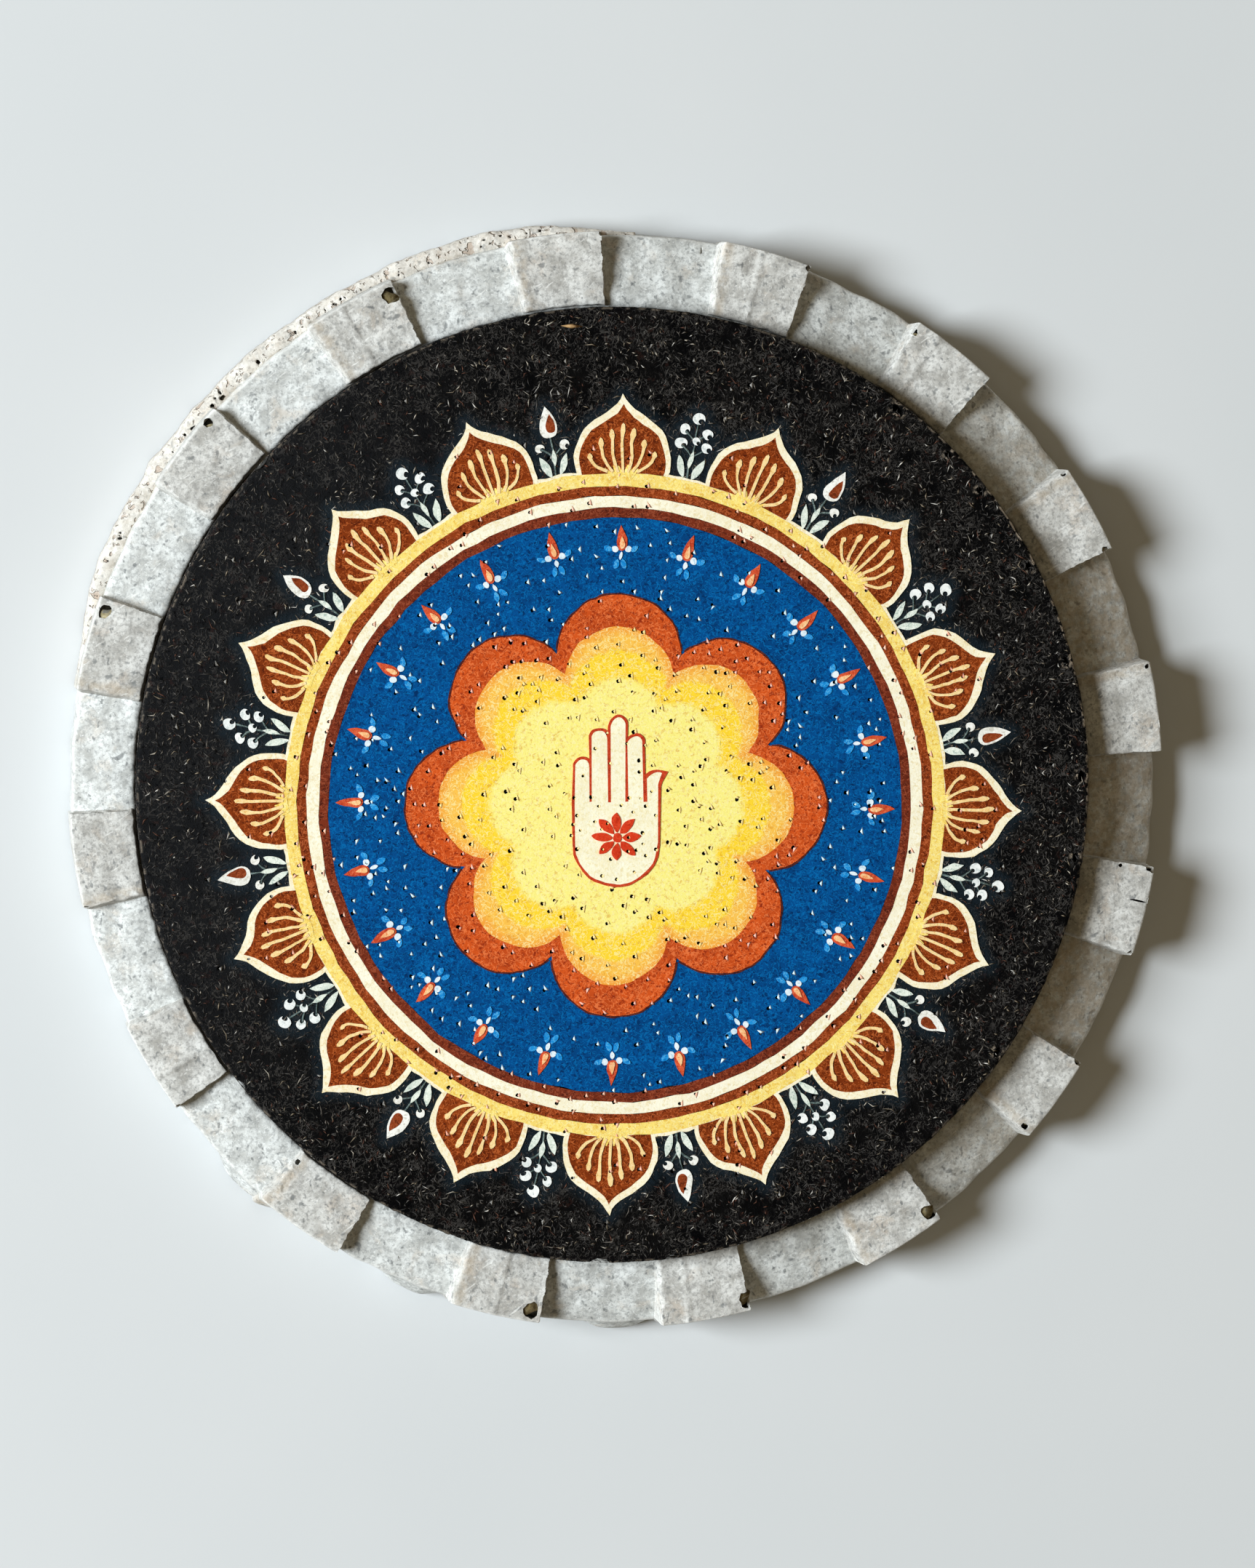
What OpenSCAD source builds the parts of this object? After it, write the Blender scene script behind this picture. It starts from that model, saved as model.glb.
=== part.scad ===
// Round cake of solid ink with a painted rosette, in a pleated paper tray.
// Millimetres. The origin is under the cake's centre on the table, +Z is up,
// and +Y points the way the fingers of the painted hand point.

/* [Ink cake] */
// Diameter of the ink cake
cake_d = 120; // [110:1:130]
// Thickness of the ink cake
cake_h = 11; // [9:0.5:14]
// Width of the small bevel round the cake's edges
cake_bevel = 0.4; // [0.2:0.1:0.8]
// Thickness of one layer of paint
paint_t = 0.1; // [0.1:0.02:0.16]

/* [Paper tray] */
// Gap between the cake's side and the tray
side_gap = 0.4; // [0.3:0.05:0.8]
// Width of the rim, from its bore to its outside
rim_w = 7.9; // [6:0.1:9]
// Height of the low paper between two pleats, at the bore
rim_h = 7.8; // [7:0.2:9]
// Height of that paper at the rim's outside
rim_edge_h = 4.8; // [4.4:0.2:6.4]
// How far the rim's outline is off the cake's centre, to +X
rim_shift_x = 0.9; // [0:0.1:1.5]
// How far the rim's outline is off the cake's centre, to +Y
rim_shift_y = 0.4; // [0:0.1:1]
// Thickness of one sheet of the handmade paper
paper_t = 0.3; // [0.2:0.05:0.4]
// Thickness of the card in the tray's floor
card_t = 0.8; // [0.6:0.1:1.2]
// Width of the paper that is folded under the floor
hem_w = 12; // [8:1:20]

/* [Pleats] */
// Number of pleats round the rim
pleats = 16; // [12:1:18]
// Thickness of a pleat, which is folded paper
pleat_t = 1.3; // [0.8:0.1:1.8]
// Angle that one pleat takes up
pleat_angle = 10.4; // [8:0.1:12]
// Where the first pleat starts, clockwise from +Y
pleat_start = 9.3; // [0:0.1:12]
// The pleats are gathered on a point this far to +X
gather_x = 2.1; // [0:0.1:2.4]
// The pleats are gathered on a point this far to +Y
gather_y = 0.4; // [0:0.1:1]
// Radius of the bite out of each pleat's outer corner
bite_r = 0.8; // [0.5:0.1:1]

/* [Painted rosette] */
// How far the rosette's centre is off the cake's centre, to -Y
rosette_drop = 2.4; // [0:0.1:3]
// How far the whole rosette is turned, clockwise
rosette_turn = 1; // [0:0.5:3]
// Radius of the blue field
blue_r = 36; // [34:0.5:38]
// Width of the thin brown line round the blue field
line_w = 1.2; // [0.8:0.1:1.4]
// Width of the cream band
cream_w = 1.5; // [1:0.1:1.8]
// Width of the brown band
brown_w = 1.2; // [0.8:0.1:1.4]
// Width of the gold band
gold_w = 1.6; // [1.2:0.1:1.8]

/* [Petals and sprigs] */
// Number of petals round the gold band
petals = 16; // [12:2:16]
// Length of a petal
petal_l = 9.9; // [8:0.1:10.5]
// Half the width of a petal
petal_half = 6.05; // [5:0.05:6.2]
// Width of a petal's cream outline
outline_w = 0.65; // [0.5:0.05:1]
// Number of flames on the blue field
flames = 24; // [16:2:24]

/* [Lotus] */
// Number of lobes on the lotus
lobes = 8; // [8:1:8]
// Reach of the red layer's lobes
red_reach = 26.4; // [25:0.1:27]
// Reach of the orange layer's lobes
orange_reach = 22.4; // [22:0.1:23]
// Reach of the yellow layer's lobes
yellow_reach = 19.4; // [19:0.1:20]
// Reach of the cream layer's lobes
cream_reach = 16; // [15:0.1:17]

/* [Hand] */
// Width of the painted palm
palm_w = 11.1; // [10.9:0.1:11.5]
// Spacing of the painted fingers
finger_pitch = 2.22; // [2:0.01:2.3]
// Width of the hand's outline
hand_line = 0.35; // [0.3:0.05:0.45]

/* [Hidden] */
$fn = 96;
EPS = 0.01;
BIG = 200;

cake_r = cake_d / 2;
bore_r = cake_r + side_gap;
rim_r = bore_r + rim_w;
core_r = rim_r - paper_t;
backing_r = rim_r - hem_w + 5;
hem_r = rim_r - hem_w;

// Heights, from the table up
z_hem = paper_t;
z_card = z_hem + paper_t;
z_lining = z_card + card_t;
z_cake = z_lining + paper_t;
z_pleat = rim_h + pleat_t;
z_top = z_cake + cake_h;

// Levels of paint: the ground colours, what is painted on them, and the last touches
z_ground = z_top;
z_detail = z_ground + paint_t;
z_touch = z_detail + paint_t;
z_mark = z_touch + paint_t;

// Radii of the bands round the blue field
line_r = blue_r + line_w;
cream_r = line_r + cream_w;
brown_r = cream_r + brown_w;
gold_r = brown_r + gold_w;

// A lobe's circle, as a share of the lobe's reach: its radius for each layer
red_lobe = 0.297;
orange_lobe = 0.306;
yellow_lobe = 0.327;
cream_lobe = 0.35;

function pleat_name(i) = str("pleat_", i < 10 ? "0" : "", i);

PLEATS = [for (i = [1:pleats]) pleat_name(i)];

// ---- Curves ----

// A point at t on the cubic curve with control points p
function bezier(p, t) =
    pow(1 - t, 3) * p[0]
    + 3 * t * pow(1 - t, 2) * p[1]
    + 3 * t * t * (1 - t) * p[2]
    + pow(t, 3) * p[3];

// n + 1 points along that curve
function curve(p, n) = [for (i = [0:n]) bezier(p, i / n)];

// Points reflected in the Y axis, in the reverse order
function mirrored(pts) = [for (i = [len(pts) - 1:-1:0]) [-pts[i][0], pts[i][1]]];

// A drop: round at the root, drawn out to a point at +Y
function drop_side(half, len) =
    curve([[0, 0], [1.25 * half, 0], [1.35 * half, 0.45 * len], [0, len]], 9);

// Both sides of a stroke that follows a cubic curve and swells to a dot at its end
function stroke_side(p, w, side, n) =
    [for (i = [0:n])
        let (
            t = i / n,
            here = bezier(p, t),
            ahead = bezier(p, t + EPS) - bezier(p, t - EPS),
            normal = [-ahead[1], ahead[0]] / norm(ahead),
            swell = 1 + 0.9 * exp(-pow((t - 0.92) / 0.07, 2))
        )
        here + side * w / 2 * swell * normal];

function stroke_points(p, w, n = 11) =
    let (
        left = stroke_side(p, w, 1, n),
        right = stroke_side(p, w, -1, n),
        onward = (p[3] - p[2]) / norm(p[3] - p[2])
    )
    concat(left, [p[3] + 0.6 * w * onward], [for (i = [n:-1:0]) right[i]]);

// ---- Helpers ----

// A disc of radius r, from height z, h thick
module disc(r, z, h) {
    translate([0, 0, z])
        cylinder(r = r, h = h);
}

// A ring of paint between two radii
module band(inner, outer) {
    on_rosette() difference() {
        disc(outer, z_ground, paint_t);
        disc(inner, z_ground - EPS, paint_t + 2 * EPS);
    }
}

// The rim's outline is drawn off the cake's centre
module on_rim() {
    translate([rim_shift_x, rim_shift_y, 0])
        children();
}

// A solid with the rim's sloping top, under units below the paper's surface
module rim_solid(r, z, under) {
    on_rim()
        rotate_extrude()
            polygon([
                [0, z],
                [r, z],
                [r, rim_edge_h - under],
                [rim_r - rim_w, rim_h - under],
                [0, rim_h - under]
            ]);
}

// The rosette's place on the cake
module on_rosette() {
    translate([0, -rosette_drop, 0])
        rotate([0, 0, -rosette_turn])
            children();
}

// The hand stands upright in the rosette
module on_hand() {
    translate([0, -rosette_drop, 0])
        children();
}

// n copies round the rosette, clockwise from the one turned by start
module around(n, start = 0) {
    on_rosette()
        for (i = [0:n - 1])
            rotate([0, 0, -start - i * 360 / n])
                children();
}

// A flat shape as one layer of paint on the level z
module paint(z) {
    translate([0, 0, z])
        linear_extrude(paint_t)
            children();
}

// A leaf of paint, pointed at both ends: its centre, tilt, length, width and level
module leaf(x, y, tilt, len, wid, z) {
    arc_r = (len * len + wid * wid) / (4 * wid);
    translate([x, y, 0])
        rotate([0, 0, -tilt])
            paint(z) intersection() {
                translate([arc_r - wid / 2, 0, 0])
                    circle(r = arc_r);
                translate([wid / 2 - arc_r, 0, 0])
                    circle(r = arc_r);
            }
}

// A round berry with a dark gap low on its right
module berry(x, y, r, z) {
    translate([x, y, 0])
        paint(z) difference() {
            circle(r = r);
            translate([0.5 * r, -0.4 * r, 0])
                circle(r = 0.45 * r);
        }
}

// A round dot of paint
module dot(x, y, r, z) {
    translate([x, y, 0])
        paint(z) circle(r = r);
}

// ---- Paper tray ----

module backing_sheet() {
    color("#c4c3bd")
        disc(backing_r, 0, paper_t);
}

module base_card() {
    color("#b9a88a")
        on_rim() disc(core_r, z_card, card_t);
}

module lining_paper() {
    color("#dcdad3")
        disc(bore_r, z_lining, paper_t);
}

module rim_core() {
    color("#b9a88a") difference() {
        rim_solid(core_r, z_lining, 2 * paper_t);
        disc(bore_r, 0, BIG);
    }
}

// The sheet that goes under the floor, up the rim's outside and over its top
module paper_band() {
    color("#d3d2cc") difference() {
        rim_solid(rim_r, z_hem, 0);
        rim_solid(core_r, z_card, paper_t);
        disc(bore_r, z_cake, BIG);
        disc(hem_r, 0, z_card + EPS);
    }
}

// A wedge that opens from the point the pleats are gathered on
module pleat_wedge(i) {
    first = pleat_start + (i - 1) * 360 / pleats;
    last = first + pleat_angle;
    translate([gather_x, gather_y, 0])
        linear_extrude(BIG, center = true)
            polygon([[0, 0], BIG * [sin(first), cos(first)], BIG * [sin(last), cos(last)]]);
}

// A fold of paper that lies on the rim and turns down its outside
module pleat(i) {
    last = pleat_start + (i - 1) * 360 / pleats + pleat_angle;
    corner_r = rim_r + pleat_t / 2 - gather_x / 2;
    color("#e4e3dd") difference() {
        intersection() {
            on_rim() disc(rim_r + pleat_t / 2, z_card, z_pleat - z_card);
            pleat_wedge(i);
        }
        rim_solid(rim_r, 0, 0);
        disc(bore_r, 0, BIG);
        translate([gather_x, gather_y, 0])
            rotate([0, 0, -last])
                translate([0, corner_r, rim_edge_h])
                    cylinder(r = bite_r, h = BIG);
    }
}

// ---- Ink cake ----

module ink_cake() {
    color("#1e1d1e")
        translate([0, 0, z_cake])
            rotate_extrude()
                polygon([
                    [0, 0],
                    [cake_r - cake_bevel, 0],
                    [cake_r, cake_bevel],
                    [cake_r, cake_h - cake_bevel],
                    [cake_r - cake_bevel, cake_h],
                    [0, cake_h]
                ]);
}

// ---- Bands ----

module blue_field() {
    color("#00508c")
        on_rosette() disc(blue_r, z_ground, paint_t);
}

module brown_line() {
    color("#7a3416")
        band(blue_r, line_r);
}

module cream_band() {
    color("#fffae1")
        band(line_r, cream_r);
}

module brown_band() {
    color("#96401a")
        band(cream_r, brown_r);
}

module gold_band() {
    color("#fad76e")
        band(brown_r, gold_r);
}

// ---- Petals ----

// One side of a petal, from its root on the gold band to its drawn-out tip
function petal_side(half, len) =
    let (
        hip = [0.7 * half, 0.63 * len],
        belly = [[0.93 * half, 0], [1.06 * half, 0.2 * len], [1.02 * half, 0.48 * len], hip],
        tip = [hip, [0.42 * half, 0.76 * len], [0.12 * half, 0.83 * len], [0, len]]
    )
    concat(curve(belly, 8), [for (i = [1:7]) bezier(tip, i / 7)]);

function petal_points(half, len) =
    let (side = petal_side(half, len))
    concat(side, [for (p = mirrored(side)) if (p[0] < 0) p]);

// A petal stands on the gold band's edge, so its root follows the band's curve
module petal_shape(half, len) {
    difference() {
        translate([0, gold_r - petal_root, 0])
            polygon(petal_points(half, len + petal_root));
        circle(r = gold_r);
    }
}

petal_root = 0.5;
fill_half = petal_half - outline_w;
fill_len = petal_l - 2 * outline_w;

module petal_fills() {
    color("#963c14")
        around(petals) paint(z_ground) petal_shape(fill_half, fill_len);
}

module petal_outlines() {
    color("#fff0c8")
        around(petals)
            paint(z_ground) difference() {
                petal_shape(petal_half, petal_l);
                petal_shape(fill_half, fill_len);
            }
}

// Each stamen: how far it spreads at its root and at its tip, and how high it reaches
stamens = [
    [-1.9, -4.1, 2.3],
    [-1.25, -2.75, 4.1],
    [-0.62, -1.4, 5.3],
    [0, 0, 6.1],
    [0.62, 1.4, 5.5],
    [1.25, 2.75, 4.2],
    [1.9, 4.1, 2.6]
];
stamen_w = 0.36;

module petal_stamens() {
    color("#ffe2a0")
        around(petals)
            for (s = stamens)
                paint(z_detail)
                    polygon(stroke_points([
                        [s[0], gold_r + 0.15],
                        [(s[0] + s[1]) / 2, gold_r + 0.25 * s[2]],
                        [s[1], gold_r + 0.55 * s[2]],
                        [s[1], gold_r + s[2]]
                    ], stamen_w));
}

// ---- Sprigs between the petals ----

sprig_step = 360 / petals;

// The berries of a sprig: place across, place out and radius
berries = [
    [-0.1, 7.9, 0.74],
    [-1.5, 6.3, 0.64],
    [1.45, 6.2, 0.67],
    [-1.7, 4.5, 0.69],
    [1.65, 4.45, 0.65],
    [0.1, 5, 0.52]
];

module berry_sprigs() {
    color("#f4f2ea")
        around(petals / 2, sprig_step / 2)
            for (b = berries)
                berry(b[0], gold_r + b[1], b[2], z_ground);
}

bud_half = 1.15;
bud_l = 4.1;
bud_root = 5;

// The bud's white coat, with a gap for its brown centre, and two berries beside it
module bud_sprigs() {
    color("#f4f2ea")
        around(petals / 2, 1.5 * sprig_step) {
            paint(z_ground) difference() {
                translate([0, gold_r + bud_root, 0])
                    bud_shape(bud_half, bud_l);
                translate([bud_half / 4, gold_r + bud_root + bud_l / 8, 0])
                    bud_shape(0.55 * bud_half, 0.62 * bud_l);
            }
            for (side = [-1, 1])
                berry(side * 1.6, gold_r + 4.1, 0.58, z_ground);
        }
}

module bud_centres() {
    color("#963c14")
        around(petals / 2, 1.5 * sprig_step)
            translate([bud_half / 4, gold_r + bud_root + bud_l / 8, 0])
                paint(z_ground) bud_shape(0.55 * bud_half, 0.62 * bud_l);
}

// A bud or a flame, which stands on the origin
module bud_shape(half, len) {
    side = drop_side(half, len);
    polygon(concat(side, [for (p = mirrored(side)) if (p[0] < -EPS) p]));
}

// Two pale leaves at the root of every sprig, and a slim one between them
module sprig_leaves() {
    color("#dfe4d8")
        around(petals, sprig_step / 2) {
            for (side = [-1, 1])
                leaf(side * 1.1, gold_r + 1.6, side * 24, 3, 0.9, z_ground);
            leaf(0, gold_r + 2.6, 0, 2.2, 0.6, z_ground);
        }
}

// ---- Flames on the blue field ----

flame_r = 31.8;
flame_half = 0.66;
flame_l = 3.3;

module flame_tips() {
    color("#e0532c")
        around(flames)
            translate([0, flame_r, 0])
                paint(z_detail) bud_shape(flame_half, flame_l);
}

module flame_hearts() {
    color("#ffe6a0")
        around(flames)
            translate([0, flame_r + 0.25, 0])
                paint(z_touch) bud_shape(flame_half / 2, flame_l / 2);
}

module flame_dots() {
    color("#f7f9fa")
        around(flames) {
            for (side = [-1, 1])
                dot(side * 0.86, flame_r + 0.2, 0.4, z_detail);
            leaf(0, flame_r - 0.6, 0, 1, 0.5, z_detail);
        }
}

module flame_leaves() {
    color("#1f8fd0")
        around(flames)
            for (side = [-1, 1]) {
                leaf(side * 1.7, flame_r + 0.3, side * 60, 1.2, 0.7, z_detail);
                leaf(side * 0.5, flame_r - 1.6, -side * 20, 1.3, 0.7, z_detail);
            }
}

// ---- Lotus ----

// A ring of round lobes that reaches out to reach; lobe is a lobe's radius as a share of it
module lotus_solid(reach, lobe, grow = 0) {
    lobe_r = lobe * reach;
    union() {
        disc(reach - lobe_r, z_detail - grow, paint_t + 2 * grow);
        for (i = [0:lobes - 1])
            rotate([0, 0, i * 360 / lobes])
                translate([0, reach - lobe_r, 0])
                    disc(lobe_r, z_detail - grow, paint_t + 2 * grow);
    }
}

module lotus_red() {
    color("#cd4b28") on_rosette() difference() {
        lotus_solid(red_reach, red_lobe);
        lotus_solid(orange_reach, orange_lobe, EPS);
    }
}

module lotus_orange() {
    color("#faaf50") on_rosette() difference() {
        lotus_solid(orange_reach, orange_lobe);
        lotus_solid(yellow_reach, yellow_lobe, EPS);
    }
}

module lotus_yellow() {
    color("#ffd246") on_rosette() difference() {
        lotus_solid(yellow_reach, yellow_lobe);
        lotus_solid(cream_reach, cream_lobe, EPS);
    }
}

module lotus_cream() {
    color("#fae482")
        on_rosette() lotus_solid(cream_reach, cream_lobe);
}

// ---- Hand ----

palm_half = palm_w / 2;
palm_y = -4.6;
palm_top = 0.5;

// Each finger: its place as a count of pitches from the middle, and its tip's height
fingers = [
    [-1.92, 6.1],
    [-0.95, 9.8],
    [0.05, 11.2],
    [1.05, 9]
];

// A round-ended bar from y0 up to y1
module bar(x, half, y0, y1) {
    translate([x - half, y0, 0])
        square([2 * half, y1 - half - y0]);
    translate([x, y1 - half, 0])
        circle(r = half);
}

// The palm, with the thumb that leans out from it to a point
module palm(inset) {
    left = finger_pitch * 1.55 + inset;
    right = palm_half - inset;
    tip = [palm_half + 0.95 - 2.2 * inset, 4.4 - 0.7 * inset];
    back = curve([tip, [left + 1.5, 4.7 - inset], [left + 0.6, 4.3 - inset], [left, 3.7 - inset]], 6);
    polygon(concat(
        [[-right, palm_y], [right, palm_y]],
        curve([[right, 2.2], [right, 2.9], tip - [0.3, 0.7], tip], 6),
        [for (i = [1:len(back) - 1]) back[i]],
        [[left, palm_top], [-right, palm_top]]
    ));
    translate([0, palm_y, 0])
        circle(r = right);
}

// The whole hand, drawn in from its outline by inset
module hand_shape(inset) {
    finger_half = (finger_pitch + hand_line) / 2 - inset;
    for (f = fingers)
        bar(f[0] * finger_pitch, finger_half, 0, f[1] - inset);
    palm(inset);
}

module hand_fill() {
    color("#fffdeb")
        on_hand() paint(z_touch) hand_shape(hand_line);
}

module hand_outline() {
    color("#c83c1e")
        on_hand()
            paint(z_touch) difference() {
                hand_shape(0);
                hand_shape(hand_line);
            }
}

flower_y = -3.9;
flower_r = 1.9;

// A plain eight-petalled flower on the palm
module palm_flower() {
    color("#e23a1e")
        on_hand()
            translate([0, flower_y, 0]) {
                for (i = [0:7])
                    rotate([0, 0, i * 45])
                        leaf(0, flower_r, 0, 2.5, 1.15, z_mark);
                dot(0, 0, 0.6, z_mark);
            }
}

// ---- The part ----

backing_sheet();
base_card();
lining_paper();
rim_core();
paper_band();
for (i = [1:pleats])
    pleat(i);
ink_cake();
blue_field();
brown_line();
cream_band();
brown_band();
gold_band();
petal_fills();
petal_outlines();
petal_stamens();
berry_sprigs();
bud_sprigs();
bud_centres();
sprig_leaves();
flame_tips();
flame_hearts();
flame_dots();
flame_leaves();
lotus_red();
lotus_orange();
lotus_yellow();
lotus_cream();
hand_fill();
hand_outline();
palm_flower();
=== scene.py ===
"""Looks of the painted ink cake in its pleated paper tray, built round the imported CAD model.

Lengths in this script are millimetres in the CAD frame, and become metres where meshes are made.
Angles are degrees, clockwise from +Y.
"""
import math

import bmesh
import bpy
import numpy as np
from mathutils import Matrix, Vector
from mathutils.kdtree import KDTree


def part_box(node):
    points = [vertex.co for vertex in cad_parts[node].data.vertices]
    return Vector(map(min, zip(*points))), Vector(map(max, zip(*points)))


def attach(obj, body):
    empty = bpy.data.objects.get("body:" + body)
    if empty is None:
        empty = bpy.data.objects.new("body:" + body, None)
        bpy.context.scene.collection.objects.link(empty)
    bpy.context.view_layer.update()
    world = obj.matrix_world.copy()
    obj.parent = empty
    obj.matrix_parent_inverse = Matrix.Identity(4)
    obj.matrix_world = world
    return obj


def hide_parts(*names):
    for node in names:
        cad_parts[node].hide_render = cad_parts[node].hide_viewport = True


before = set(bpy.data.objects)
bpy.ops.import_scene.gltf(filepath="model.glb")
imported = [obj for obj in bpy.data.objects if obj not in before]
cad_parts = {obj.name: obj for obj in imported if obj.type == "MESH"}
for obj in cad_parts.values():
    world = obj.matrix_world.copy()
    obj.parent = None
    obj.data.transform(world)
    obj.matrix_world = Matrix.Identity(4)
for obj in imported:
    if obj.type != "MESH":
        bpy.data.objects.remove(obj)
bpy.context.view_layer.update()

MM = 0.001


def span(node):
    """Lowest and highest corner of a CAD node, in millimetres."""
    lo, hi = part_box(node)
    return np.array(lo) / MM, np.array(hi) / MM


# ---- Sizes that come from the frame ----

cake_lo, cake_hi = span("ink_cake")
band_lo, band_hi = span("paper_band")
blue_lo, blue_hi = span("blue_field")
CAKE_R = (cake_hi[0] - cake_lo[0]) / 2
Z_CAKE = cake_lo[2]
Z_TOP = cake_hi[2]
RIM = (band_lo[:2] + band_hi[:2]) / 2
RIM_R = (band_hi[0] - band_lo[0]) / 2
Z_HEM = band_lo[2]
Z_RIM = band_hi[2]
Z_PLEAT = span("pleat_01")[1][2]
BORE_R = span("lining_paper")[1][0]
BACKING_R = span("backing_sheet")[1][0]
ROSETTE = (blue_lo[:2] + blue_hi[:2]) / 2
BLUE_R = (blue_hi[0] - blue_lo[0]) / 2
PAINT_T = blue_hi[2] - blue_lo[2]
GOLD_R = span("gold_band")[1][0]

# ---- Sizes that the CAD source holds and the frame doesn't say ----

GATHER = np.array([2.1, 0.4])                   # the point that the pleats are gathered on
ROSETTE_TURN = 1.0        # how far the painted rosette is turned
PETALS = 16
PLEATS = 16
LOBES = 8                 # in each layer of the lotus
HEM_W = 12.0              # how far the handmade sheet is turned in under the floor

# Each layer of the lotus: its reach from the middle, and its lobes' radius as a share of that
RED_REACH, RED_LOBE = 26.4, 0.297
ORANGE_REACH, ORANGE_LOBE = 22.4, 0.306
YELLOW_REACH, YELLOW_LOBE = 19.4, 0.327
CREAM_REACH, CREAM_LOBE = 16.0, 0.35

# ---- Paper ----

PAPER_T = 0.3
SHEET_STEP = 0.4          # spacing of the points across a sheet
BORE_LEAN = 0.3           # how far the rim's paper leans in over the gap beside the cake
DROOP = 2.4               # how much lower the rim's paper is at its outside than at the bore
DROOP_SWING = 1.0         # how much more that is on one side, and less on the other
DROOP_AT = 95.0           # where it is most
PLEAT_FALL = 0.25         # how much lower a pleat's top is at its outside than at the bore
SHOULDER = [0.95, 0.97, 0.985, 0.995, 1.0]      # shares of the way out, where the paper turns down
SHOULDER_DROP = [0.0, 0.02, 0.07, 0.18, 0.42]   # how much it has turned down there
PAINTED_SHADE_AT = 92.0            # where the rim's paper is painted brown as painted shade, on its side away from the light
FLARE = 1.0               # how far the wall's foot stands out at its loosest
FLARE_AT = 322.0          # where that is
PLEAT_OUT = 0.65          # how far a pleat's wall stands out from the rim
FOOT_SPAN = (280.0, 362.0)  # angles between which an under-layer of paper stands out
FOOT_OUT = 1.15           # how far it stands out beyond the pleats
FOOT_H = 4.4              # height of its upper edge

# The under-layer's section: share of the way out, and how far it is below its upper edge
FOOT_PROFILE = [
    (0.25, 0.9), (0.3, 0.12), (0.36, 0.0), (0.5, -0.04), (0.75, 0.0), (0.92, 0.06),
    (0.98, 0.16), (1.0, 0.4), (1.02, 1.2), (1.03, 2.4), (1.05, FOOT_H - Z_HEM),
]

# Lips of loose paper at the foot of the wall: angle, half width in degrees, how far out
LIPS = [(180.0, 3.4, 1.2), (202.3, 3.0, 1.25), (223.0, 3.4, 1.3)]

# Slits in the rim's outer edge: angle and length
SLITS = [(8.0, 1.3), (51.0, 1.0), (69.0, 1.2), (103.4, 1.6), (134.0, 1.4), (137.6, 1.0)]

# Bites and holes in the pleats: pleat, share of its width, distance in from its outside, radius
BITES = [
    (1, 0.96, 0.3, 0.45), (2, 0.07, 1.3, 0.55), (3, 0.06, 0.7, 0.4), (3, 0.97, 0.8, 0.6),
    (4, 0.09, 0.4, 0.35), (5, 0.0, 0.1, 1.1), (5, 1.0, 0.1, 1.1), (5, 0.06, 4.3, 0.3),
    (6, 0.0, 0.3, 1.0), (6, 0.9, 1.2, 0.5), (7, 0.08, 1.5, 1.1), (8, 0.05, 1.4, 1.1),
    (9, 0.13, 1.35, 1.15), (10, 0.92, 6.4, 0.4), (11, 0.0, 0.2, 0.6), (13, 0.85, 0.9, 0.95),
    (14, 0.83, 0.5, 0.7), (15, 0.91, 1.6, 1.2), (16, 0.98, 0.2, 0.4), (12, 0.03, 0.2, 0.5),
]

HOLE_WIDE = 0.45          # bites of this radius or more show the paper under them
HOLE_DEEP = 0.5           # how deep that paper lies

# Pleats with a crease along them, and the share of their width where it lies
CREASES = {1: 0.47, 2: 0.3, 4: 0.62, 8: 0.66, 9: 0.5, 11: 0.38, 13: 0.3, 15: 0.4}

# ---- Cake ----

# Pits beside the cake's edge: angle and radius
EDGE_PITS = [
    (37.0, 0.75), (45.3, 0.52), (51.2, 0.5), (62.3, 0.52), (74.8, 0.56), (89.0, 0.62),
    (99.0, 0.5), (125.0, 0.56),
]

EDGE_PIT_IN = 1.1         # how far in from the cake's side they are

# Notches in the cake's side, where the paper shows: angle, half width and depth
NOTCHES = [(173.2, 0.75, 0.6), (182.0, 1.2, 0.7), (231.5, 1.0, 0.6), (312.5, 1.3, 0.75)]

FIBRES = 18000            # how many lie in the cake's top
SIDE_FIBRES = 6500        # how many lie in its side
SMOOTH_LIT_AT = 282.0           # the side of the cake's top that is rubbed smooth and painted lighter, as painted light from the lamp's side

# ---- Pits pricked through the paint: how many to a square centimetre of each zone ----

PIT_DENSITY = {"lotus": 21, "blue": 14, "bands": 13, "petals": 7, "black": 2.2}
PIT_R = (0.19, 0.33)      # smallest and largest radius
PIT_DEPTH = 0.7
PIT_GAP = 1.0             # none is nearer to another


# ---- Numbers ----

def on_circle(angle, radius, centre=(0.0, 0.0)):
    """Points at clockwise angles from +Y, in degrees, on a circle."""
    a = np.radians(angle)
    return np.stack([centre[0] + radius * np.sin(a), centre[1] + radius * np.cos(a)], -1)


def angle_of(points, centre=(0.0, 0.0)):
    """Clockwise angles of points from +Y, from 0 to 360."""
    return np.degrees(np.arctan2(points[..., 0] - centre[0], points[..., 1] - centre[1])) % 360


def turn_between(a, b):
    """Signed turn from angle b to angle a, from -180 to 180."""
    return (a - b + 180) % 360 - 180


def waves(points, length, seed, count=14):
    """Smooth noise at points, mostly from -1 to 1, in waves about length apart."""
    rng = np.random.default_rng(seed)
    points = np.asarray(points, float)
    ways = rng.normal(size=(count, points.shape[-1]))
    ways /= np.linalg.norm(ways, axis=1)[:, None]
    ways *= (2 * math.pi / (length * rng.uniform(0.6, 1.6, count)))[:, None]
    shifts = rng.uniform(0, 2 * math.pi, count)
    return np.cos(points @ ways.T + shifts).sum(-1) / math.sqrt(count)


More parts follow.
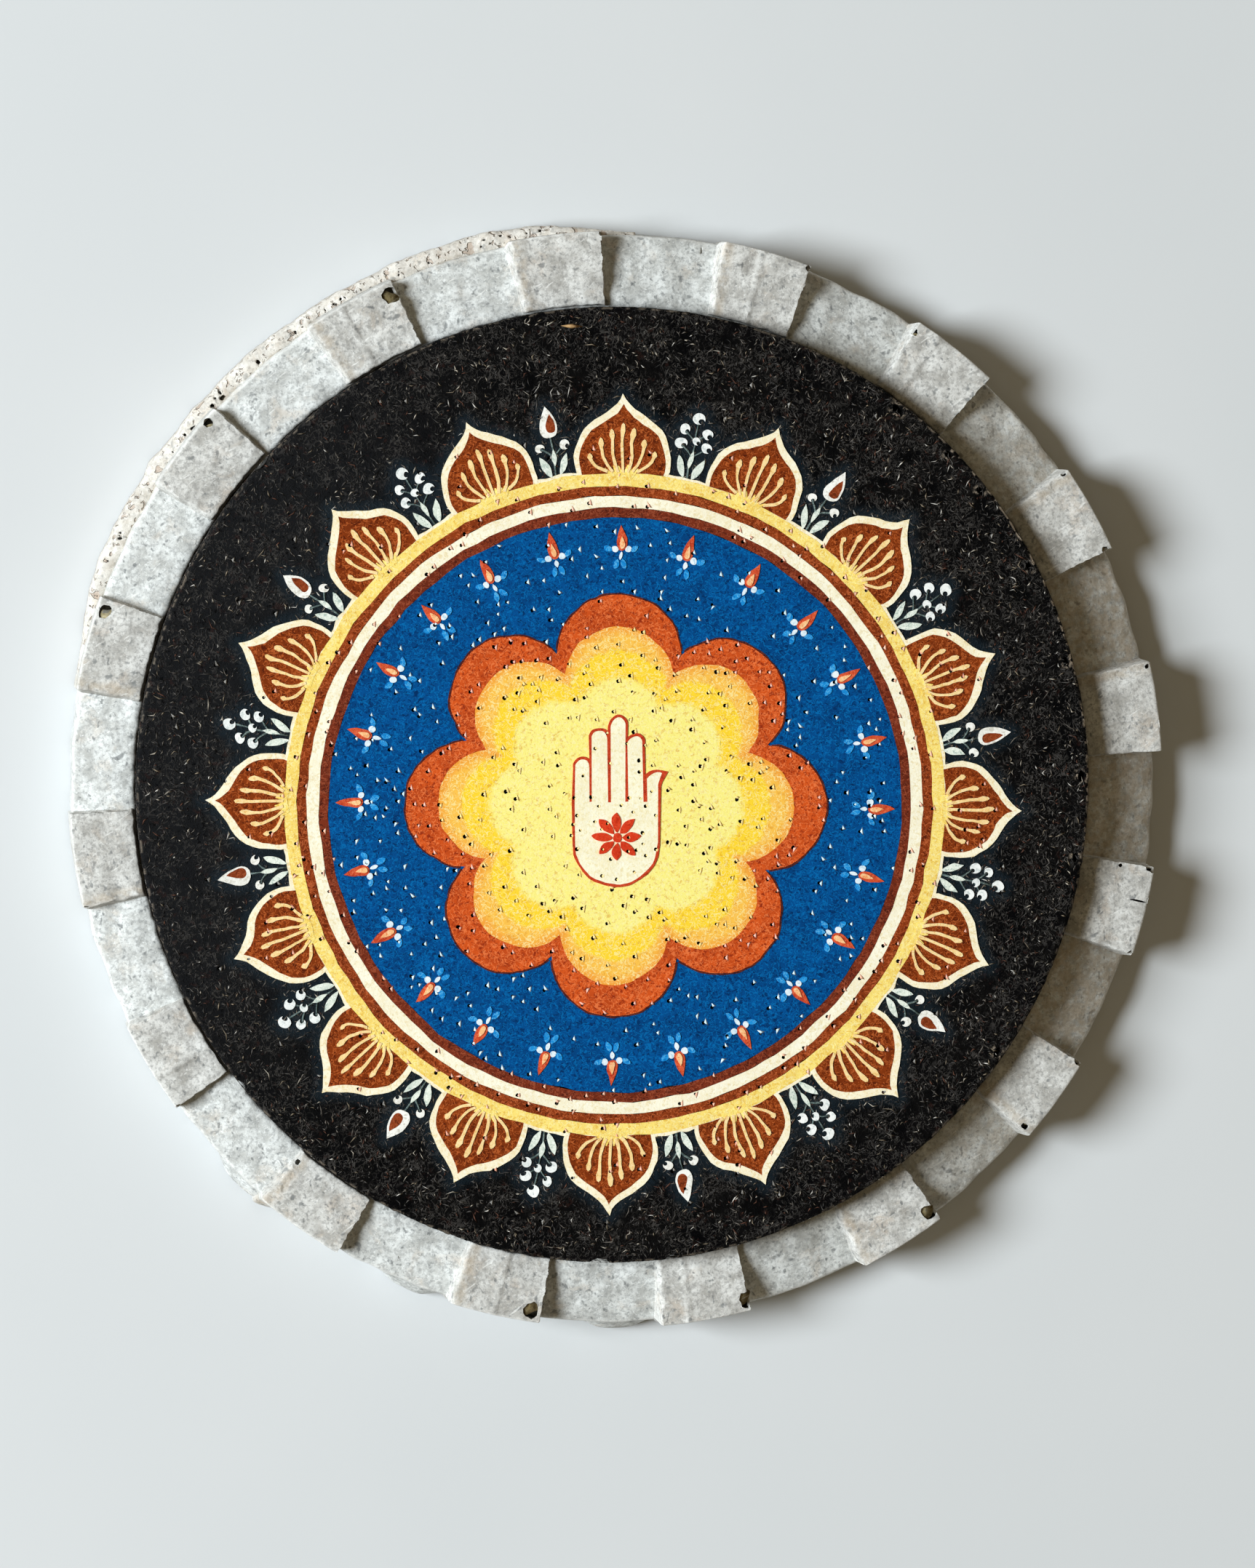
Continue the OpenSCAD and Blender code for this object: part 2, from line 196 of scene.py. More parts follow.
def smooth(t):
    """A soft step from 0 at t = 0 to 1 at t = 1."""
    t = np.clip(t, 0, 1)
    return t * t * (3 - 2 * t)


def near_angle(angles, at, half, full=1.5):
    """1 near one angle and 0 away from it; half says how wide the change is, in degrees."""
    return smooth(full - np.abs(turn_between(angles, at)) / half)


def far_from(points, centre):
    """Distances of points from a centre, seen from above."""
    return np.hypot(*(points[:, :2] - centre).T)


def raised(xy, z):
    """Flat points at one height, or each at its own."""
    return np.column_stack([xy, np.broadcast_to(z, len(xy))])


def lobes_distance(points, reach, lobe):
    """Distance of points from the outline of a lotus layer, negative inside it."""
    rho = far_from(points, ROSETTE)
    step = 360 / LOBES
    turn = angle_of(points, ROSETTE) - ROSETTE_TURN
    folded = np.radians(turn_between((turn + step / 2) % step, step / 2))
    x, y = rho * np.sin(folded), rho * np.cos(folded)
    return np.hypot(x, y - reach * (1 - lobe)) - reach * lobe


# ---- Meshes ----

def grid_faces(rows, cols, wrap=False):
    """Quads of a grid whose points are numbered row by row; wrap joins the last column to the first."""
    reach = cols if wrap else cols - 1
    r, c = np.meshgrid(np.arange(rows - 1), np.arange(reach), indexing="ij")
    nxt = (c + 1) % cols
    quads = np.stack([r * cols + c, r * cols + nxt, (r + 1) * cols + nxt, (r + 1) * cols + c], -1)
    return quads.reshape(-1, 4)


def capped(rows, start, end):
    """Points and faces of a closed form through rings of points, with a middle point at each end."""
    count = len(rows[0])
    points = np.concatenate([*rows, [start], [end]])
    faces = grid_faces(len(rows), count, True)[:, ::-1].tolist()
    first, last, ring = len(points) - 2, len(points) - 1, (len(rows) - 1) * count
    for i in range(count):
        j = (i + 1) % count
        faces += [[first, i, j], [last, ring + j, ring + i]]
    return points, faces


def new_object(name, data):
    """A new object in the scene."""
    obj = bpy.data.objects.new(name, data)
    bpy.context.scene.collection.objects.link(obj)
    return obj


def add_object(name, points, faces, material):
    """A new smooth-shaded mesh object, from points in millimetres."""
    mesh = bpy.data.meshes.new(name)
    faces = faces.tolist() if isinstance(faces, np.ndarray) else faces
    mesh.from_pydata((np.asarray(points, float) * MM).tolist(), [], faces)
    mesh.materials.append(material)
    mesh.polygons.foreach_set("use_smooth", [True] * len(mesh.polygons))
    return new_object(name, mesh)


def joined(name, shapes, material):
    """Several shapes of points and faces as one object."""
    points, faces = [], []
    count = 0
    for p, f in shapes:
        points.append(p)
        faces += [[i + count for i in face] for face in f]
        count += len(p)
    return add_object(name, np.concatenate(points), faces, material)


def points_of(obj):
    """An object's points in millimetres."""
    co = np.empty(len(obj.data.vertices) * 3, np.float32)
    obj.data.vertices.foreach_get("co", co)
    return co.reshape(-1, 3).astype(float) / MM


def set_points(obj, points):
    obj.data.vertices.foreach_set("co", (points * MM).astype(np.float32).ravel())
    obj.data.update()


def set_value(obj, name, values):
    """Stores a number for each point, which a material reads by its name."""
    attribute = obj.data.attributes.new(name, "FLOAT", "POINT")
    values = np.broadcast_to(values, len(obj.data.vertices))
    attribute.data.foreach_set("value", values.astype(np.float32))


def set_tint(obj, colours):
    """Stores one colour for each point, which a material reads as tint."""
    attribute = obj.data.attributes.new("tint", "FLOAT_COLOR", "POINT")
    rgba = np.concatenate([colours, np.ones((len(colours), 1))], 1)
    attribute.data.foreach_set("color", rgba.astype(np.float32).ravel())


def apply_modifiers(obj):
    """Turns the object's modifiers into mesh."""
    graph = bpy.context.evaluated_depsgraph_get()
    made = bpy.data.meshes.new_from_object(obj.evaluated_get(graph), depsgraph=graph)
    old = obj.data
    obj.modifiers.clear()
    obj.data = made
    bpy.data.meshes.remove(old)
    return obj


def thicken(obj, thickness):
    """Gives a sheet its thickness, on the side away from its normals."""
    solid = obj.modifiers.new("thickness", "SOLIDIFY")
    solid.thickness = thickness * MM
    solid.offset = -1
    return apply_modifiers(obj)


def cut(obj, cutter):
    """Takes the cutter's closed shapes out of a closed mesh."""
    boolean = obj.modifiers.new("cut", "BOOLEAN")
    boolean.operation = "DIFFERENCE"
    boolean.solver = "MANIFOLD"
    boolean.object = cutter
    return apply_modifiers(obj)


def shade_sharp(obj, angle=40):
    """Keeps edges that bend more than angle crisp in an otherwise smooth mesh."""
    obj.data.set_sharp_from_angle(angle=math.radians(angle))
    return obj


def finish_piece(obj, body, slot, *nodes):
    """Says which body a piece rides on and which CAD nodes it stands for; slot, the finish it would take, is
    not used.
    """
    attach(obj, body)
    if nodes:
        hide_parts(*nodes)
    return obj


def drop(*objects):
    """Removes cutters that have done their work."""
    for obj in objects:
        bpy.data.objects.remove(obj)


# ---- Materials ----

def srgb(r, g, b):
    """A display colour of 0 to 255 as linear light."""
    def linear(v):
        v /= 255
        return v / 12.92 if v <= 0.04045 else ((v + 0.055) / 1.055) ** 2.4
    return (linear(r), linear(g), linear(b), 1.0)


class Look:
    """One material, built node by node round its Principled shader."""

    def __init__(self, name, roughness=0.6, specular=0.3):
        self.material = bpy.data.materials.new(name)
        self.material.use_nodes = True
        self.tree = self.material.node_tree
        self.shader = self.tree.nodes["Principled BSDF"]
        self.shader.inputs["Roughness"].default_value = roughness
        self.shader.inputs["Specular IOR Level"].default_value = specular
        self.place = self.add("ShaderNodeTexCoord").outputs["Object"]

    def add(self, kind, **settings):
        node = self.tree.nodes.new(kind)
        for name, value in settings.items():
            setattr(node, name, value)
        return node

    def put(self, socket, value):
        """Links an output to the socket, or sets the socket to a value."""
        if isinstance(value, bpy.types.NodeSocket):
            self.tree.links.new(value, socket)
        else:
            socket.default_value = value

    def noise(self, size, detail=3.0, rough=0.55, stretch=None, turn=0.0, warp=0.0):
        """Noise with lumps about size millimetres across, stretched along a turned axis if asked."""
        node = self.add("ShaderNodeTexNoise")
        node.inputs["Scale"].default_value = 1 / (size * MM)
        node.inputs["Detail"].default_value = detail
        node.inputs["Roughness"].default_value = rough
        node.inputs["Distortion"].default_value = warp
        place = self.place
        if stretch:
            mapping = self.add("ShaderNodeMapping", vector_type="TEXTURE")
            mapping.inputs["Rotation"].default_value = (0.0, 0.0, math.radians(turn))
            mapping.inputs["Scale"].default_value = (stretch, 1.0, 1.0)
            self.put(mapping.inputs["Vector"], place)
            place = mapping.outputs["Vector"]
        self.put(node.inputs["Vector"], place)
        return node.outputs["Fac"]

    def curls(self, size, width=0.05, warp=1.0):
        """Thin curling lines about size millimetres apart: 1 on a line and 0 between."""
        off = self.math("ABSOLUTE", self.minus(self.noise(size, 1.0, 0.5, warp=warp), 0.5))
        return self.step(off, width, 0.2 * width)

    def value(self, name):
        return self.add("ShaderNodeAttribute", attribute_name=name).outputs["Fac"]

    def tint(self):
        return self.add("ShaderNodeAttribute", attribute_name="tint").outputs["Color"]

    def math(self, operation, a, b=0.0):
        node = self.add("ShaderNodeMath", operation=operation)
        self.put(node.inputs[0], a)
        self.put(node.inputs[1], b)
        return node.outputs[0]

    def plus(self, a, b):
        return self.math("ADD", a, b)

    def minus(self, a, b):
        return self.math("SUBTRACT", a, b)

    def times(self, a, b):
        return self.math("MULTIPLY", a, b)

    def length(self, a, b):
        """Length of the diagonal of a and b."""
        return self.math("SQRT", self.plus(self.math("POWER", a, 2.0), self.math("POWER", b, 2.0)))

    def step(self, value, low, high, start=0.0, end=1.0):
        """A soft step: start where value is low or less, end where it is high or more."""
        node = self.add("ShaderNodeMapRange", interpolation_type="SMOOTHSTEP")
        for socket, number in zip(node.inputs, (value, low, high, start, end)):
            self.put(socket, number)
        return node.outputs["Result"]

    def mix(self, factor, a, b, blend="MIX"):
        node = self.add("ShaderNodeMix", data_type="RGBA", blend_type=blend)
        self.put(node.inputs["Factor"], factor)
        self.put(node.inputs[6], a)
        self.put(node.inputs[7], b)
        return node.outputs[2]

    def lay(self, body, colour, mask, share):
        """Lays a colour over the body where the mask is 1, as strongly as share says."""
        return self.mix(self.times(mask, share), body, colour)

    def bump(self, height, depth, strength=1.0, under=None):
        """Relief of depth millimetres from a height of 0 to 1."""
        node = self.add("ShaderNodeBump")
        node.inputs["Strength"].default_value = strength
        node.inputs["Distance"].default_value = depth * MM
        self.put(node.inputs["Height"], height)
        if under is not None:
            self.put(node.inputs["Normal"], under)
        return node.outputs["Normal"]

    def finish(self, colour, normal=None, roughness=None):
        self.put(self.shader.inputs["Base Color"], colour)
        if normal is not None:
            self.put(self.shader.inputs["Normal"], normal)
        if roughness is not None:
            self.put(self.shader.inputs["Roughness"], roughness)
        return self.material


def paint_look(name, colour, dark, light, grain=0.5):
    """Hand-laid paint: patches of thin and thick pigment, with sandy pale and dark grain."""
    look = Look(name, 0.66, 0.06)
    patches = look.step(look.noise(3.2, 4.0), 0.35, 0.68)
    sand = look.curls(0.62, 0.055)
    deep = look.step(look.noise(0.42, 2.0, 0.5, warp=0.8), 0.5, 0.34)
    body = look.lay(colour, dark, patches, 0.45)
    body = look.lay(body, dark, deep, 0.9)
    body = look.lay(body, light, sand, grain)
    relief = look.bump(look.noise(0.3, 3.0, 0.6), 0.05, 0.6)
    relief = look.bump(patches, 0.05, 0.4, relief)
    return look.finish(body, relief, look.step(sand, 0.0, 1.0, 0.59, 0.78))


def lotus_look():
    """Yellow paint that runs from orange at its outer lobes to pale in the middle."""
    look = Look("lotus_paint", 0.66, 0.12)
    parts = look.add("ShaderNodeSeparateXYZ")
    look.put(parts.inputs[0], look.place)
    x = look.minus(parts.outputs["X"], ROSETTE[0] * MM)
    y = look.minus(parts.outputs["Y"], ROSETTE[1] * MM)
    rho = look.length(x, y)
    step = 2 * math.pi / LOBES
    shifted = look.plus(look.math("ARCTAN2", x, y), step / 2 - math.radians(ROSETTE_TURN))
    folded = look.minus(look.math("FLOORED_MODULO", shifted, step), step / 2)
    across = look.times(rho, look.math("SINE", folded))
    out = look.times(rho, look.math("COSINE", folded))
    drift = look.times(look.minus(look.noise(1.6, 3.0), 0.5), 1.4 * MM)

    def depth(reach, lobe):
        """Distance from a layer's outline, with an uneven brushed edge."""
        middle = reach * (1 - lobe) * MM
        edge = look.minus(look.length(across, look.minus(out, middle)), reach * lobe * MM)
        return look.plus(look.math("MINIMUM", edge, look.minus(rho, middle)), drift)

    orange, amber = srgb(246, 164, 62), srgb(252, 194, 78)
    yellow, pale = srgb(255, 215, 52), srgb(253, 240, 134)
    body = look.mix(look.step(depth(ORANGE_REACH, ORANGE_LOBE), -1.6 * MM, 0.0), amber, orange)
    body = look.mix(look.step(depth(YELLOW_REACH, YELLOW_LOBE), 0.3 * MM, -0.3 * MM), body, yellow)
    body = look.mix(look.step(depth(CREAM_REACH, CREAM_LOBE), 0.5 * MM, -0.6 * MM), body, pale)
    sand = look.curls(0.62, 0.055)
    deep = look.step(look.noise(0.42, 2.0, 0.5, warp=0.8), 0.48, 0.3)
    body = look.lay(body, srgb(214, 142, 40), deep, 0.5)
    body = look.lay(body, srgb(255, 244, 176), sand, 0.6)
    relief = look.bump(look.noise(0.3, 3.0, 0.6), 0.05, 0.6)
    return look.finish(body, relief, look.step(sand, 0.0, 1.0, 0.55, 0.7))


def ink_look():
    """Pressed black ink: matted dull fibres, pores, a bluish haze beside the paint, worn edges with a painted
    highlight, and a smooth side painted lighter as painted light.
    """
    look = Look("black_ink", 0.8, 0.05)
    hair = look.math("MAXIMUM", look.curls(1.3, 0.05, 1.6), look.curls(0.8, 0.04, 1.2))
    smooth_and_lit = look.value("smooth_and_lit")
    tuft = look.times(hair, look.step(look.noise(3.2, 3.0), 0.34, 0.62))
    tuft = look.times(tuft, look.step(smooth_and_lit, 0.0, 1.0, 1.0, 0.75))
    body = look.mix(look.step(look.noise(6.0, 4.0), 0.35, 0.65), srgb(2, 2, 3), srgb(9, 8, 8))
    # painted light: the smooth side towards the lamp is made lighter grey
    body = look.lay(body, srgb(25, 26, 28), smooth_and_lit, 0.85)
    body = look.lay(body, srgb(78, 75, 72), tuft, 0.55)
    body = look.lay(body, srgb(58, 34, 28), look.step(look.noise(1.1, 3.0, 0.6), 0.6, 0.7), 0.3)
    body = look.lay(body, srgb(3, 3, 4), look.step(look.noise(0.7, 3.0, 0.6), 0.42, 0.3), 0.9)
    body = look.lay(body, srgb(28, 40, 48), look.value("haze"), 0.6)
    worn_and_lit = look.step(look.noise(0.8, 2.0), 0.46, 0.56)
    # worn ink and painted highlight, pale along the top edge and round the edge pits
    body = look.lay(body, srgb(192, 176, 156), look.value("wear_and_highlight"), worn_and_lit)
    relief = look.bump(hair, 0.07, 0.8)
    relief = look.bump(look.noise(0.9, 4.0, 0.65), 0.18, 0.6, relief)
    return look.finish(body, relief, look.step(hair, 0.0, 1.0, 0.85, 0.65))


def fibre_look(name, roughness=0.6):
    """Loose fibres, each with its own colour."""
    look = Look(name, roughness, 0.15)
    shade = look.step(look.noise(0.3, 2.0), 0.3, 0.7, 0.65, 1.0)
    body = look.mix(1.0, look.tint(), shade, "MULTIPLY")
    return look.finish(body, look.bump(look.noise(0.15, 2.0), 0.03, 0.5))


def burr_highlight_look():
    """Crumbs of dry paint, each with its own colour, paled towards white as a painted highlight."""
    look = Look("burr_highlight", 0.6, 0.15)
    body = look.mix(look.step(look.noise(0.2, 2.0), 0.35, 0.65), look.tint(), srgb(250, 250, 246))
    return look.finish(look.mix(0.75, body, look.tint()), look.bump(look.noise(0.12, 2.0), 0.02, 0.4))


def paper_look(name, base=(211, 213, 210), pitted=0.0):
    """Handmade paper: cloudy pulp, grey flecks, pale hairs, stained folds and painted shade, rubbed folds and
    edges with a painted highlight, pits if asked.
    """
    look = Look(name, 0.85, 0.18)

    def shade(r, g, b):
        """The paper's own colour, lighter or darker by so much."""
        return srgb(base[0] + r, base[1] + g, base[2] + b)

    pulp = look.step(look.noise(2.4, 5.0, 0.65), 0.32, 0.68)
    body = look.mix(pulp, shade(-27, -28, -29), shade(20, 21, 22))
    warm = look.step(look.noise(3.4, 4.0, 0.6, warp=0.5), 0.52, 0.72)
    body = look.lay(body, shade(-4, -22, -38), warm, 0.4)
    fine = look.step(look.noise(0.5, 3.0, 0.7), 0.44, 0.64)
    body = look.lay(body, shade(-60, -60, -58), fine, 0.6)
    pale = look.step(look.noise(0.45, 3.0, 0.7, warp=0.4), 0.56, 0.7)
    body = look.lay(body, shade(34, 35, 36), pale, 0.6)
    for turn, size in ((20, 1.1), (-55, 0.7), (85, 0.85)):
        fleck = look.step(look.noise(size, 2.0, 0.5, stretch=1.5, turn=turn), 0.64, 0.74)
        body = look.lay(body, srgb(112, 115, 116), fleck, 0.7)
    hair = look.step(look.noise(0.34, 1.0, 0.4, stretch=6.0, turn=35, warp=0.4), 0.66, 0.8)
    body = look.lay(body, srgb(242, 242, 238), hair, 0.6)
    # stains, and painted shade where the rim's paper is darkened on its side away from the light
    stain_and_shade = look.times(look.value("stain_and_shade"), look.step(look.noise(1.1, 4.0, 0.6), 0.3, 0.62))
    body = look.lay(body, srgb(182, 162, 132), stain_and_shade, 0.7)
    # rubbed paper and painted highlight: paler along the folds and the rim's outer edge
    rub_and_highlight = look.times(look.value("rub_and_highlight"), look.step(look.noise(0.9, 3.0), 0.25, 0.6))
    body = look.lay(body, srgb(236, 236, 232), rub_and_highlight, 0.6)
    relief = look.bump(look.noise(0.35, 4.0, 0.65), 0.05, 0.5)
    relief = look.bump(pulp, 0.1, 0.4, relief)
    if pitted:
        pit = look.step(look.noise(0.95, 2.0, 0.5, warp=0.6), 0.44, 0.34)
        body = look.lay(body, srgb(158, 122, 92), pit, pitted)
        relief = look.bump(pit, -0.25, 1.0, relief)
    return look.finish(body, relief)


def card_look():
    """Grey-brown pressed card with a fibrous surface."""
    look = Look("card", 0.85, 0.2)
    body = look.mix(look.noise(2.0, 4.0, 0.6), srgb(160, 140, 108), srgb(202, 186, 156))
    fleck = look.step(look.noise(0.5, 2.0, 0.5, stretch=3.0, turn=30), 0.64, 0.74)
    body = look.lay(body, srgb(104, 88, 66), fleck, 0.7)
    return look.finish(body, look.bump(look.noise(0.4, 4.0, 0.6), 0.1, 0.6))


def floor_look():
    """A pale matt table top."""
    look = Look("table_top", 0.85, 0.08)
    body = look.mix(look.noise(60.0, 3.0), srgb(211, 215, 217), srgb(219, 221, 222))
    return look.finish(body, look.bump(look.noise(1.5, 3.0), 0.02, 0.2))


# Each paint node: its material slot in the record, colour, darker and paler variants, grain
PAINTS = {
    "blue_field": ("blue_paint", (0, 77, 142), (0, 42, 90), (4, 116, 186), 0.6),
    "brown_line": ("dark_brown_paint", (122, 48, 26), (74, 26, 16), (176, 92, 62), 0.5),
    "cream_band": ("cream_paint", (255, 249, 224), (238, 222, 178), (255, 253, 240), 0.5),
    "brown_band": ("brown_paint", (144, 60, 22), (84, 28, 8), (200, 104, 58), 0.7),
    "gold_band": ("gold_paint", (254, 228, 124), (232, 188, 80), (255, 244, 180), 0.6),
    "petal_fills": ("brown_paint", (136, 56, 15), (78, 24, 6), (194, 100, 48), 0.75),
    "petal_outlines": ("cream_paint", (255, 246, 216), (238, 216, 164), (255, 252, 238), 0.5),
    "petal_stamens": ("straw_paint", (253, 222, 158), (232, 186, 112), (255, 238, 196), 0.5),
    "berry_sprigs": ("white_paint", (252, 253, 250), (196, 206, 204), (255, 255, 254), 0.5),
    "bud_sprigs": ("white_paint", (252, 251, 244), (204, 200, 186), (255, 255, 252), 0.5),
    "bud_centres": ("brown_paint", (140, 60, 26), (96, 38, 16), (176, 92, 56), 0.5),
    "sprig_leaves": ("leaf_paint", (234, 240, 226), (170, 188, 178), (252, 254, 246), 0.7),
    "flame_tips": ("flame_paint", (214, 84, 48), (168, 50, 30), (240, 130, 90), 0.5),
    "flame_hearts": ("straw_paint", (252, 200, 140), (236, 140, 84), (255, 232, 190), 0.5),
    "flame_dots": ("white_paint", (238, 246, 250), (180, 214, 234), (253, 254, 255), 0.4),
    "flame_leaves": ("sky_paint", (34, 146, 218), (6, 112, 186), (120, 204, 240), 0.5),
    "lotus_red": ("red_paint", (214, 86, 30), (142, 42, 16), (240, 126, 70), 0.75),
    "lotus_orange": ("orange_paint", None, None, None, 0),
    "lotus_yellow": ("yellow_paint", None, None, None, 0),
    "lotus_cream": ("pale_yellow_paint", None, None, None, 0),
    "hand_fill": ("ivory_paint", (255, 248, 216), (242, 228, 180), (255, 254, 242), 0.4),
    "hand_outline": ("vermilion_paint", (204, 66, 34), (160, 44, 22), (228, 98, 62), 0.4),
    "palm_flower": ("vermilion_paint", (222, 62, 30), (186, 44, 20), (240, 96, 60), 0.4),
}


# ---- Paper tray ----

def ray_to(angle, radius, centre=RIM):
    """Points where rays at clockwise angles from the gather point meet a circle."""
    way = on_circle(angle, 1.0)
    rel = GATHER - centre
    along = (way * rel).sum(-1)
    reach = -along + np.sqrt(along ** 2 - rel @ rel + radius ** 2)
    return GATHER + way * reach[..., None]


def flare_at(angle):
    """How far the wall's foot stands out at an angle."""
    out = FLARE * np.exp(-(turn_between(angle, FLARE_AT) / 36) ** 2)
    for at, half, size in LIPS:
        out = out + size * near_angle(angle, at, half, 1.35)
    return out


def drooped(height, share, angles):
    """Height of the rim's paper, which falls away from the bore to the outside."""
    fall = DROOP + DROOP_SWING * np.cos(np.radians(angles - DROOP_AT))
    squeeze = np.clip((height - Z_HEM) / (Z_RIM - Z_HEM), 0, 1)
    return height - fall * share ** 1.3 * squeeze


def crumple(xy):
    """Small ups and downs of the rim's paper."""
    return 0.09 * waves(xy, 5.5, 3) + 0.035 * waves(xy, 1.8, 4)


def sheet_path(foot):
    """A section of a sheet over the rim: share of the way from the bore to the outside, and height."""
    across = np.array([0.0, 0.002, 0.012, 0.035, *np.linspace(0.08, 0.9, 18), *SHOULDER])
    rounding = np.array([0.75, 0.35, 0.1, 0.02, *[0.0] * 18, *SHOULDER_DROP])
    heights = Z_RIM - rounding
    wall = np.linspace(heights[-1] - 0.35, foot, 14)
    return np.concatenate([across, np.ones(len(wall))]), np.concatenate([heights, wall])


def wall_push(height):
    """How far the wall stands out at a height, as a share of its flare at the table."""
    return smooth(np.clip(1 - height / Z_RIM, 0, 1) / 0.75)


def edge_rub_and_highlight(share, height):
    """How rubbed the paper is along the rim's outer edge, where it also takes a painted highlight."""
    return 0.8 * smooth((share - 0.965) / 0.02) * (height > Z_RIM - 0.9)


def bore_edge(angles):
    """Radius of the paper's torn edge beside the cake; it reaches in where the cake is chipped."""
    radius = BORE_R - BORE_LEAN + 0.07 * waves(on_circle(angles, BORE_R), 2.0, 9)
    for at, half, deep in NOTCHES:
        radius = radius - (deep - 0.15) * near_angle(angles, at, half)
    return radius


def add_sheet(name, rows, faces, material, rub_and_highlight, stain_and_shade, thickness=PAPER_T):
    """A sheet of paper through rows of points, with its rubbed places and painted highlights, and its stained
    places and painted shade.
    """
    obj = add_object(name, np.concatenate(rows), faces, material)
    set_value(obj, "rub_and_highlight", rub_and_highlight)
    set_value(obj, "stain_and_shade", stain_and_shade)
    return thicken(obj, thickness)


def rim_sheet(material):
    """The handmade sheet: over the rim, down its outside, and folded under the floor."""
    angles = np.arange(0, 360, 0.4)
    share, z = sheet_path(Z_HEM + 0.35)
    hem = np.linspace(RIM_R - 0.35, RIM_R - HEM_W, 8)
    inner = on_circle(angles, bore_edge(angles))
    outer = on_circle(angles, RIM_R, RIM)
    rows = []
    for s, height in zip(share, z):
        xy = inner + (outer - inner) * s
        lift = crumple(xy) * smooth(s * 12) * (s < 1)
        push = flare_at(angles) * wall_push(height) * (s >= 1) + 0.1 * waves(xy, 6.0, 5) * (s > 0.9)
        xy = xy + (outer - RIM) / RIM_R * push[:, None]
        rows.append(raised(xy, drooped(height, s, angles) + lift))
    rows += [raised(on_circle(angles, r, RIM), Z_HEM) for r in hem]
    points = np.concatenate(rows)
    edge = [edge_rub_and_highlight(s, height) for s, height in zip(share, z)] + [0.0] * len(hem)
    wall = smooth((far_from(points, RIM) - RIM_R + 0.1) / 0.5)
    foot_stain = wall * near_angle(angle_of(points), FLARE_AT, 30, 1.6)
    # painted shade: the rim's paper darkened brown on its side away from the light
    painted_shade = 0.75 * near_angle(angle_of(points), PAINTED_SHADE_AT, 42)
    faces = grid_faces(len(rows), len(angles), True)[:, ::-1]
    return add_sheet("rim_sheet", rows, faces, material, np.repeat(edge, len(angles)),
                     np.maximum(foot_stain, painted_shade))


def loose_foot(material):
    """The under-layer of paper that stands out beyond the rim at the upper left, with its own edge."""
    angles = np.arange(*FOOT_SPAN, 0.3)
    fade = smooth((angles - FOOT_SPAN[0]) / 14) * smooth((FOOT_SPAN[1] - angles) / 14)
    xy = on_circle(angles, RIM_R, RIM)
    wide = PLEAT_OUT + fade * (FOOT_OUT + 0.12 * waves(xy, 6.0, 15)) - 0.5 * (1 - fade)
    rows = []
    for out, below in FOOT_PROFILE:
        radius = RIM_R + wide * out + 0.05 * waves(xy, 1.4, 16) * (out > 0.9)
        ring = on_circle(angles, radius, RIM)
        loose = fade * (below < FOOT_H - Z_HEM)
        rows.append(raised(ring, FOOT_H - below + 0.14 * waves(ring, 5.0, 17) * loose))
    faces = grid_faces(len(rows), len(angles))[:, ::-1]
    return add_sheet("loose_foot", rows, faces, material, 0.5, 0.3, 2 * PAPER_T)


def pleat_turns(number):
    """First and last angle of a CAD pleat, seen from the point that the pleats are gathered on."""
    angles = angle_of(points_of(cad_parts[f"pleat_{number:02d}"]), GATHER)
    middle = np.degrees(np.angle(np.exp(1j * np.radians(angles)).mean()))
    turns = turn_between(angles, middle)
    return middle + turns.min(), middle + turns.max()


def on_pleat(number, share, inward):
    """The point at a share of the way across a pleat and so far in from the rim's outside."""
    first, last = pleat_turns(number)
    return ray_to(first + (last - first) * share, RIM_R - inward)


def pleat_columns(width):
    """Distances across a pleat, close together near its two edges."""
    edge = [0.0, 0.05, 0.1, 0.16, 0.22, 0.3, 0.38, 0.46, 0.56, 0.7, 0.88, 1.1]
    middle = np.linspace(1.1, width - 1.1, int((width - 2.2) / SHEET_STEP) + 2)[1:-1]
    return np.array(edge + list(middle) + [width - d for d in reversed(edge)])


def pleat_rise(from_soft, from_fold, here, wide):
    """How far the folded paper stands up, from 0 to 1: a slope on one side, two sharp layers on the other."""
    slope = smooth(from_soft / (wide + 0.12 * waves(here, 3.0, 7)))
    ledge = 0.17 + 0.05 * waves(here, 2.2, 8)
    fold = 0.42 * smooth(from_fold / 0.1) + 0.58 * smooth((from_fold - ledge) / 0.12)
    return np.minimum(slope, fold)


